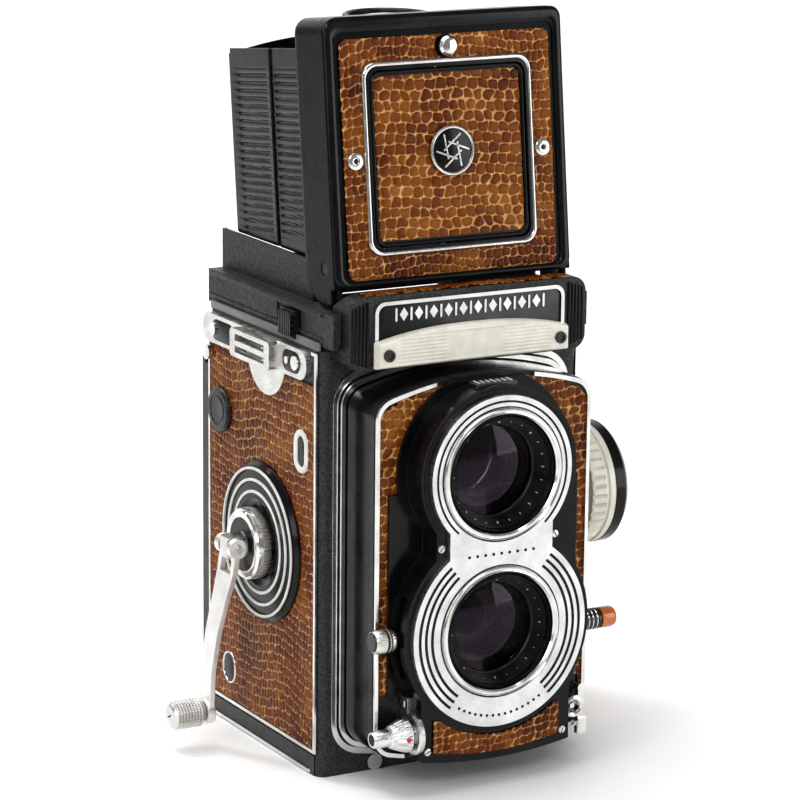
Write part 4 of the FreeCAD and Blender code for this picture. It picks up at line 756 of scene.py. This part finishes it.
def badge():
    """A round plaque with a plain iris motif."""
    middle = LID.moved(0.4, 33.6)
    plate = [(0, 0.55), (6.5, 0.55), (6.5, 1.15), (6.1, 1.3), (0, 1.3)]
    lathe("badge_plate", middle, plate, GLOSS, "sports_flap", 64, stands_for=("badge",))
    rim = [(5.7, 1.2), (5.75, 1.5), (6.1, 1.62), (6.45, 1.5), (6.6, 1.1)]
    lathe("badge_rim", middle, rim, CHROME, "sports_flap", 64)
    iris = ([], [])
    blades = 6
    for k in range(blades):
        a = 2 * math.pi * k / blades
        start = Vector((4.9 * math.cos(a), 4.9 * math.sin(a)))
        b = a + math.radians(118)
        end = Vector((2.6 * math.cos(b), 2.6 * math.sin(b)))
        along = (end - start).normalized()
        side = Vector((-along.y, along.x)) * 0.22
        blade = [tuple(start - side), tuple(end - side), tuple(end + side), tuple(start + side)]
        add_prism(iris, middle, blade, 1.2, 1.5)
    piece("badge_iris", iris, CHROME, "sports_flap")


# ---- nameplate and meter

def nameplate():
    face = facing("-Y", (0, low_high("meter_housing")[0].y, 0))
    # ribbed ends of the housing
    ribs = ([], [])
    for side in (-1, 1):
        for k in range(5):
            rib = round_rect(0.36, 8.6 - 0.35 * k, 0.34, 4, (0, 120.6))
            add_prism(ribs, face.moved(side * (30.1 + 1.05 * k), 0), rib, -0.35, 0.5 - 0.07 * k, 0.25)
    piece("meter_ribs", ribs, GLOSS, "body")
    prism("nameplate_field", face, round_rect(27.2, 7.5, 2.1, 6, (0, 120.3)), 0.0, 0.35, BLACK, "body", 0.1)
    # a plain ornament: upright strokes and lozenges in turn
    ornament = ([], [])
    line, tall = 125.2, 1.8
    for k in range(21):
        u = -22.0 + 2.2 * k
        mark = round_rect(0.3, tall, 0.29, 4, (u, line))
        if k % 2:
            mark = [(u - 1.25, line), (u, line - tall), (u + 1.25, line), (u, line + tall)]
        add_prism(ornament, face, mark, 0.3, 0.6)
    piece("nameplate_ornament", ornament, CHROME, "body")


def diffuser():
    """The meter's window: an arched cream bar with level flutes and a plain panel in its middle."""
    bar_front = low_high("meter_diffuser")[0].y + 0.8
    thick, half, foot = 2.6, 28.7, 111.7
    steps_u, steps_v = 90, 64
    verts = []
    for layer in (0, 1):
        for i in range(steps_u + 1):
            u = -half + 2 * half * i / steps_u
            tall = 118.5 + 3.2 * (1.0 - (abs(u) / half) ** 2.4) - foot
            for j in range(steps_v + 1):
                v = tall * j / steps_v
                y = bar_front + thick
                if layer:
                    dome = min(min(v, tall - v, half - abs(u)) / 0.9, 1.0)
                    crown = thick * (1 - (1 - dome) ** 2) ** 0.5
                    flute = 0.0
                    if abs(u) < 8.6 and 1.6 < v < tall - 1.8:
                        flute = 0.2
                    elif abs(u) < 22.8 and 0.7 < v < tall - 0.7:
                        flute = 0.16 * (0.5 - 0.5 * math.cos(2 * math.pi * v / 0.95))
                    y -= max(crown - flute, 0.3)
                verts.append((u, y, foot + v))
    form = (verts, sheet_faces(steps_u + 1, steps_v + 1))
    piece("diffuser_bar", form, CREAM, "body", ("meter_diffuser",))
    for tag, side in (("left", -1), ("right", 1)):
        stud = facing("-Y", (side * 25.6, bar_front, 115.4))
        eye = [(0, 0.3), (0.9, 0.3), (0.9, 0.75), (1.5, 0.75), (1.6, 0.5), (1.6, -0.5), (0, -0.5)]
        lathe(f"diffuser_eye_{tag}", stud, eye, BLACK_PLASTIC, "body", 32)


# ---- lenses

def barrel_details(tag, z, well):
    """The bayonet rim, the stepped cone, and the rings and ticks inside one lens barrel."""
    front = facing("-Y", (0, BEZEL, z))
    rim = [(15.75, -1.0), (17.5, -1.0), (17.5, 0.4), (17.2, 0.85), (16.9, 0.6), (16.5, 0.6), (16.2, 0.8),
           (15.75, 0.3)]
    lathe(f"{tag}_rim", front, rim, CHROME, "standard", 128)
    cone, steps = [], 9
    for k in range(steps):
        radius = 14.3 - 1.9 * (k + 1) / steps
        cone += [(radius, -0.85 - well * k / steps), (radius, -0.85 - well * (k + 1) / steps)]
    cone += [(radius + 0.6, -0.9 - well), (15.2, -0.9)]
    lathe(f"{tag}_steps", front, cone, GLOSS, "standard", 128)
    retainer = [(11.9, -0.95), (12.2, -0.6), (12.5, -0.6), (12.5, -1.2), (11.95, -1.1)]
    lathe(f"{tag}_retainer", front.moved(0, 0, -well), retainer, BLACK, "standard", 96)
    # rings of the inner cell, seen through the glass
    cell = facing("-Y", (0, 0, z))
    for k, (radius, depth) in enumerate(((8.7, 51.4), (8.2, 49.8), (7.6, 48.0))):
        ring = [(8.98, depth), (radius, depth), (radius, depth - 0.5), (8.98, depth - 0.5)]
        lathe(f"{tag}_cell_{k}", cell, ring, BLACK, "standard", 72)
    ticks = ([], [])
    for k in range(24):
        half_long = 0.34 if k % 3 else 0.62
        add_tick(ticks, front, 2 * math.pi * k / 24, 13.75, -2.4, half_long, 0.09, -0.4, 0.32)
    piece(f"{tag}_ticks", ticks, IVORY, "standard")


def lens_barrels():
    barrel_details("view", VIEW_Z, 4.4)
    barrel_details("take", TAKE_Z, 3.6)


def bezel_marks():
    bezel, upper = facing("-Y", (0, BEZEL, TAKE_Z)), facing("-Y", (0, BEZEL, VIEW_Z))
    lines = ([], [])
    for radius in (20.3, 22.1, 23.9):
        for start, end in ((128, 232), (-52, 52)):
            arc_strip(lines, bezel, radius, 0.75, start, end, -0.1, 0.08)
    arc_strip(lines, upper, 19.2, 0.55, -48, 228, -0.1, 0.08, 120)
    for face in (bezel, upper):
        arc_strip(lines, face, 17.75, 0.35, 0, 360, -0.1, 0.05, 120)
    piece("bezel_lines", lines, GLOSS, "standard")
    # a plain scale of dots between and below the lenses
    dots = ([], [])
    for k in range(9):
        add_prism(dots, bezel, disc_outline(0.42, 12, (2.4 * (k - 4), 63.6 - TAKE_Z)), -0.1, 0.07)
    for k in range(15):
        a = math.radians(238 + 64 * k / 14)
        add_prism(dots, bezel, disc_outline(0.4, 12, (22.8 * math.cos(a), 22.8 * math.sin(a))), -0.1, 0.07)
    piece("bezel_dots", dots, GLOSS, "standard")


def housing_marks():
    """The value window on the crown, the ring round the upper lens, and the plate's screws."""
    crown = Place((0, HOUSE + 4.3, VIEW_Z + 23.2), (1, 0, 0), (0, 1, 0))
    prism("crown_window", crown, round_rect(6.2, 2.6, 0.8, 5), -0.9, 0.3, BLACK_PLASTIC, "standard", 0.25)
    marks = ([], [])
    for k in range(7):
        tall = 1.2 if k % 3 else 1.7
        add_prism(marks, crown, round_rect(0.22, tall, 0.2, 3, (1.6 * (k - 3), 0)), 0.2, 0.42)
    piece("crown_marks", marks, IVORY, "standard")
    ring = ([], [])
    arc_strip(ring, facing("-Y", (0, HOUSE, VIEW_Z)), 22.1, 0.45, -40, 220, -0.1, 0.22, 120)
    piece("housing_rings", ring, GLOSS, "standard")
    places = ((-20.4, 12.2, 0.4), (20.4, 12.2, 1.2), (-17.0, 66.4, 0.9), (17.0, 66.4, 2.1))
    heads = [(facing("-Y", (u, HOUSE, v)), 1.0, 0.3, turn) for u, v, turn in places]
    screws("housing", SATIN, "standard", heads)


# ---- front fittings

def levers():
    """The milled grip of the left lever, and the coiled collar and amber tip of the right one."""
    grip = on_axis("-X", "sync_lever", low_high("sync_lever")[1].x - 3.8)
    outline = [(1.0, 0.3), (2.9, 0.5), (3.15, 0.9), (3.15, 2.4), (2.6, 2.6), (2.6, 2.9), (3.15, 3.1),
               (3.15, 5.6), (2.8, 6.1), (1.6, 6.5), (0.0, 6.5), (0.0, 0.3)]
    lathe("sync_grip", grip, outline, SATIN, "sync_lever", 84, fluted(28, 0.2, 3.1))
    for k in range(2):
        base = 2.62 - 0.9 * k
        ring = [(2.9, base), (3.22, base), (3.22, base + 0.3), (2.9, base + 0.3)]
        lathe(f"sync_band_{k}", grip, ring, BLACK_PLASTIC, "sync_lever", 60)
    tip = on_axis("+X", "exposure_lever", low_high("exposure_lever")[0].x)
    for k in range(3):
        base = 4.72 + 1.3 * k
        coil = [(2.3, base), (2.7, base + 0.05), (2.78, base + 0.25), (2.7, base + 0.45), (2.3, base + 0.5)]
        lathe(f"exposure_coil_{k}", tip, coil, CHROME, "exposure_lever", 48)
    collar = [(1.2, 4.0)]
    for k in range(4):
        base = 4.0 + 1.3 * k
        collar += [(2.82, base), (2.82, base + 0.6), (2.4, base + 0.75), (2.4, base + 1.2)]
    collar += [(2.3, 9.4), (0.0, 9.4), (0.0, 4.0)]
    lathe("exposure_collar", tip, collar, BLACK_PLASTIC, "exposure_lever", 60)
    outline = [(0.0, 9.2), (2.75, 9.2), (2.85, 9.7), (2.85, 12.6), (2.5, 13.4), (1.6, 13.8), (0.0, 13.8)]
    lathe("exposure_tip", tip, outline, AMBER, "exposure_lever", 60, fluted(16, 0.12, 2.8),
          ("exposure_lever",))
    shaft = [(0.0, 0.0), (1.2, 0.0), (1.2, 4.1), (0.0, 4.1)]
    lathe("exposure_shaft", tip, shaft, SATIN, "exposure_lever", 32)


def release():
    """The shutter release: a milled cone with the cable's socket in its end."""
    low, high = low_high("release_button")
    button = on_axis("-X", "release_button", high.x)
    length = high.x - low.x
    cone = [(1.5, 0.2), (2.6, 0.2), (2.6, 2.5), (4.55, 2.6), (4.7, 2.9), (4.3, 4.2), (3.8, 5.6), (3.25, 6.9),
            (2.9, 7.5), (2.3, 7.9), (2.3, length - 0.6), (1.95, length), (1.55, length), (1.5, length - 3.0)]
    lathe("release_cone", button, cone, TURNED, "release_button", 110, fluted(22, 0.3, 2.9, 2.6, 7.0),
          ("release_button",))
    # a matt black disc at the cable socket's floor: painted shade in the hole
    well = [(0.0, length - 2.2), (1.56, length - 2.2), (1.56, length - 3.2), (0.0, length - 3.2)]
    lathe("release_well_painted_shade", button, well, MATT, "release_button", 32)
    ear = facing("-X", (low_high("release_plate")[0].x, -52.7, 24.0))
    screws("ear", CHROME, "standard", [(ear, 1.3, 0.5, 0.8)])
    dot = facing("-Y", (high.x - 3.6, low.y + 0.35, (low.z + high.z) / 2))
    prism("setting_dot", dot, disc_outline(0.85, 24), -0.6, 0.05, RED, "release_button", 0.1)


def flash_contact():
    """The rim and the pin of the flash socket."""
    sock = facing("-Y", (25.6, low_high("flash_socket")[0].y, 17.0))
    rim = [(1.8, -1.5), (1.8, 0.2), (2.3, 0.45), (2.9, 0.3), (3.05, -0.3), (3.05, -1.5)]
    lathe("socket_rim", sock, rim, CHROME, "standard", 48)
    core = [(0.0, -0.6), (0.7, -0.6), (0.8, -0.9), (0.8, -3.0), (0.0, -3.0)]
    lathe("socket_core", sock, core, CHROME, "standard", 24)


# ---- winding side

def crank():
    dish = facing("-X", (low_high("crank_escutcheon")[0].x, *CRANK))
    lines = ([], [])
    for radius, width in ((20.0, 0.7), (16.9, 0.75), (13.7, 0.8)):
        near, far = radius - width / 2, radius + width / 2
        add_lathe(lines, dish, [(near, -0.3), (near, 0.12), (radius, 0.2), (far, 0.12), (far, -0.3)], 128)
    piece("escutcheon_lines", lines, IVORY, "body")
    hub = facing("-X", (-45.6, *CRANK))
    lathe("hub_well", hub, [(3.4, -0.2), (3.5, 0.25), (7.1, 0.25), (7.3, -0.2)], GLOSS, "crank_hub", 96)
    rim = [(7.2, -0.3), (7.3, 0.35), (8.1, 0.6), (9.0, 0.45), (9.55, -0.1), (9.7, -1.4), (9.4, -1.5)]
    lathe("hub_rim", hub, rim, CHROME, "crank_hub", 128)
    # coin-edge flutes behind the rim
    edge = [(9.3, -3.6), (9.75, -3.6), (9.75, -1.5), (9.3, -1.5)]
    lathe("hub_flutes", hub, edge, SATIN, "crank_hub", 240, fluted(60, 0.2, 9.5))
    # the knurled handle, with a screw in its end
    low, high = low_high("crank_handle")
    grip = on_axis("-X", "crank_handle", high.x)
    length = high.x - low.x
    outline = [(0.0, 0.0), (2.6, 0.0), (2.9, 0.5), (3.3, 0.8)]
    rings = 9
    pitch = (length - 1.9) / rings
    for k in range(rings):
        base = 1.0 + pitch * k
        outline += [(3.85, base + 0.12), (3.9, base + 0.35), (3.9, base + pitch - 0.35),
                    (3.85, base + pitch - 0.12), (3.6, base + pitch)]
    outline += [(3.4, length - 0.5), (2.8, length), (0.0, length)]
    lathe("handle_grip", grip, outline, SATIN, "crank_handle", 160, fluted(40, 0.16, 3.8), ("crank_handle",))
    screws("handle", CHROME, "crank_handle", [(grip.moved(0, 0, length - 0.15), 1.5, 0.15, 0.5)])


def winding_side():
    # frame counter window: bright oval rim round a dark slot
    window = on_axis("-X", "counter_window", -BODY_HALF)
    rim_band("counter_rim", window, (3.9, 5.9, 3.9), (2.1, 4.1, 2.1), 1.1, IVORY, "body", (0, 0), 10,
             ("counter_window",))
    prism("counter_slot", window, round_rect(2.3, 4.3, 2.3, 10), 0.0, 0.45, GLOSS, "body", 0.1)
    # sunk black button with a bright rim, low behind the arm
    button = facing("-X", (-BODY_HALF, *LOW_BUTTON))
    rim_band("low_rim", button, (3.9, 4.6, 3.9), (3.2, 3.9, 3.2), 0.8, CHROME, "body", (0, 0), 10)
    prism("low_button", button, round_rect(3.3, 4.0, 3.3, 10), -0.1, 0.5, GLOSS, "body", 0.3)
    # take-up spool cap, milled on its edge
    cap = on_axis("-X", "spool_cap", low_high("spool_cap")[0].x)
    outline = [(0.0, 0.05), (3.6, 0.15), (3.8, -0.05), (4.2, -0.05), (4.4, 0.15), (5.7, 0.1), (6.2, -0.3),
               (6.35, -0.9), (6.1, -1.2), (0.0, -1.2)]
    lathe("cap_face", cap, outline, BLACK, "body", 120, fluted(48, 0.15, 6.0))
    # ribs of the hood latch
    low, high = low_high("hood_latch")
    ribs = ([], [])
    for k in range(7):
        y = low.y + 0.75 + k * (high.y - low.y - 1.5) / 6
        place = facing("-X", (low.x, y, (low.z + high.z) / 2))
        add_prism(ribs, place, round_rect(0.3, 3.2, 0.29, 4), -0.2, 0.4, 0.2)
    piece("hood_latch_ribs", ribs, BLACK, "hood_latch")


def strap_lugs():
    """The slotted slide and the black fields on the strap lugs' bars."""
    fields, ribs = ([], []), ([], [])
    bar_x, bar_z = 40.6, 110.4
    for side, way in SIDES:
        for y, half in ((19.2, 6.4), (-21.0, 4.8)):
            field = round_rect(half, 2.9, 2.6, 6)
            add_prism(fields, facing(way, (side * bar_x, y, bar_z)), field, -0.1, 0.16, 0.1)
        for rise in (-2.5, 0.0, 2.5):
            rib = round_rect(8.0, 0.55, 0.5, 4)
            add_prism(ribs, facing(way, (side * bar_x, 3.0, bar_z + rise)), rib, -0.2, 0.5, 0.25)
    piece("lug_fields", fields, GLOSS, "body")
    piece("lug_ribs", ribs, CHROME, "body")


# ---- focusing side

def focus_side():
    place = on_axis("+X", "focus_knob", BODY_HALF)
    depth = low_high("focus_knob")[1].x - BODY_HALF
    edge = [(3.8, 0.9), (13.8, 0.9), (14.6, 1.3), (16.3, 1.35), (16.65, 1.8), (16.65, depth - 3.0),
            (16.1, depth - 2.6), (16.1, depth - 2.1), (16.65, depth - 1.7), (16.65, depth), (0.0, depth),
            (0.0, -3.4), (3.8, -3.4)]

    def ribbed(turn, radius, height):
        if radius > 16.5 and 1.5 < height < depth - 2.9:
            return radius - 1.1 * max(0.0, math.cos(40 * turn)) ** 2.0
        return radius

    lathe("knob_rim", place, edge, CREAM, "focus_knob", 352, ribbed, ("focus_knob",))
    face = on_axis("+X", "focus_dial", low_high("focus_dial")[1].x)
    ticks = ([], [])
    for k in range(48):
        half_long, half_wide = (0.4, 0.16) if k % 4 else (0.75, 0.26)
        add_tick(ticks, face, 2 * math.pi * k / 48, 14.4 - half_long, -1.0, half_long, half_wide, -0.2, 0.22)
    piece("dial_ticks", ticks, IVORY, "focus_knob")
    boss = [(0.0, -0.4), (4.8, -0.4), (5.2, -0.6), (5.6, -0.9), (5.6, -1.6), (0.0, -1.6)]
    lathe("dial_boss", face, boss, SATIN, "focus_knob", 72)
    ring = [(9.9, -1.0), (9.9, -0.55), (10.2, -0.45), (10.5, -0.55), (10.5, -1.0)]
    lathe("dial_ring", face, ring, CHROME, "focus_knob", 96)
    heads = []
    for k in range(3):
        a = math.radians(90 + 120 * k)
        heads.append((face.moved(7.8 * math.cos(a), 7.8 * math.sin(a), -0.78), 0.9, 0.4, 0.5 + k))
    screws("dial", CHROME, "focus_knob", heads)


# ---- base and back

def base_and_back():
    """The tray's bright edge strips, and the screws of the back."""
    beads = ([], [])
    for side, way in SIDES:
        place = facing(way, (side * BODY_HALF, 0, 0))
        add_prism(beads, place, round_rect(31.2, 0.5, 0.48, 4, (side * 1.6, 0.8)), -0.15, 0.35, 0.2)
    piece("tray_beads", beads, CHROME, "door")
    screws("back", CHROME, "door", [(facing("+Y", (x, 35.0, 102.8)), 1.2, 0.5, 0.6) for x in (-34.6, 34.6)])


# ---- scene

def camera():
    """The photo's camera, fitted to points."""
    lens = bpy.data.cameras.new("photo_camera")
    lens.lens, lens.sensor_width = 156.15, 36.0
    lens.clip_start, lens.clip_end = 0.01, 50.0
    eye = add_object("photo_camera", lens)
    roll = math.radians(0.58)
    right, up = Vector((0.8733, -0.4872, 0.0)), Vector((0.1111, 0.1991, 0.9737))
    back = right.cross(up).normalized()
    across = right * math.cos(roll) + up * math.sin(roll)
    upright = up * math.cos(roll) - right * math.sin(roll)
    turn = Matrix((across, upright, back)).transposed().to_4x4()
    turn.translation = (-0.44424, -0.80272, 0.30629)
    eye.matrix_world = turn
    bpy.context.scene.camera = eye


def area_light(name, at, aim, size, power):
    lamp = bpy.data.lights.new(name, "AREA")
    lamp.shape = "RECTANGLE"
    lamp.size, lamp.size_y = size
    lamp.energy = power
    obj = add_object(name, lamp)
    obj.location = at
    obj.rotation_euler = (Vector(aim) - Vector(at)).to_track_quat("-Z", "Y").to_euler()


def lights():
    """A dim white sky, with soft boxes from the left, the front, above and onto the sweep."""
    world = bpy.data.worlds.new("studio")
    world.use_nodes = True
    sky = world.node_tree.nodes["Background"]
    sky.inputs["Color"].default_value = (1.0, 1.0, 1.0, 1.0)
    sky.inputs["Strength"].default_value = 0.24
    bpy.context.scene.world = world
    middle = (0.0, 0.0, 0.1)
    area_light("key_left", (-0.95, -0.5, 0.6), middle, (0.4, 0.8), 3.15)
    area_light("front_right", (0.75, -0.8, 0.25), middle, (0.5, 0.6), 2.7)
    area_light("front_high", (-0.35, -0.95, 0.75), middle, (0.5, 0.3), 2.35)
    area_light("top_soft", (-0.1, 0.05, 1.0), middle, (0.8, 0.8), 5.6)
    area_light("sweep_light", (-0.55, 0.9, 1.5), (0.9, 1.9, 0.7), (1.2, 0.6), 24.0)


def backdrop():
    """A pale floor that bends up into a wall behind the camera body, in metres."""
    mat, kit = shader("pale_floor")
    tones = ((0.3, (0.93, 0.93, 0.93)), (0.7, (0.96, 0.96, 0.955)))
    kit.wire("Base Color", kit.ramp(kit.noise(8.0, 4.0), *tones))
    kit.wire("Roughness", kit.spread(kit.noise(30.0, 3.0), 0.55, 0.7))
    half, near, far, rise, bend, steps = 2.24, -2.0, 1.2, 1.4, 0.5, 12
    path = [(near, 0.0), (far, 0.0)]
    for k in range(1, steps + 1):
        a = math.pi / 2 * k / steps
        path.append((far + bend * math.sin(a), bend * (1 - math.cos(a))))
    path.append((far + bend, bend + rise))
    verts = [(x, y, z) for y, z in path for x in (-half, half)]
    faces = [(2 * k, 2 * k + 1, 2 * k + 3, 2 * k + 2) for k in range(len(path) - 1)]
    mesh = bpy.data.meshes.new("studio_floor")
    mesh.from_pydata(verts, [], faces)
    mesh.materials.append(mat)
    mesh.polygons.foreach_set("use_smooth", [True] * len(mesh.polygons))
    sweep = add_object("studio_floor", mesh)
    sweep.rotation_euler = (0.0, 0.0, math.radians(-29.0))


camera()
bpy.context.scene.view_settings.view_transform = "Standard"
bpy.context.scene.view_settings.look = "Medium High Contrast"
for build in (side_leathers, lid_leathers, front_leathers, back_leather, top_leather, hood_details,
              loupe_ring, badge, nameplate, diffuser, lens_barrels, bezel_marks, housing_marks, levers,
              release, flash_contact, crank, winding_side, strap_lugs, focus_side, base_and_back, lights,
              backdrop):
    build()
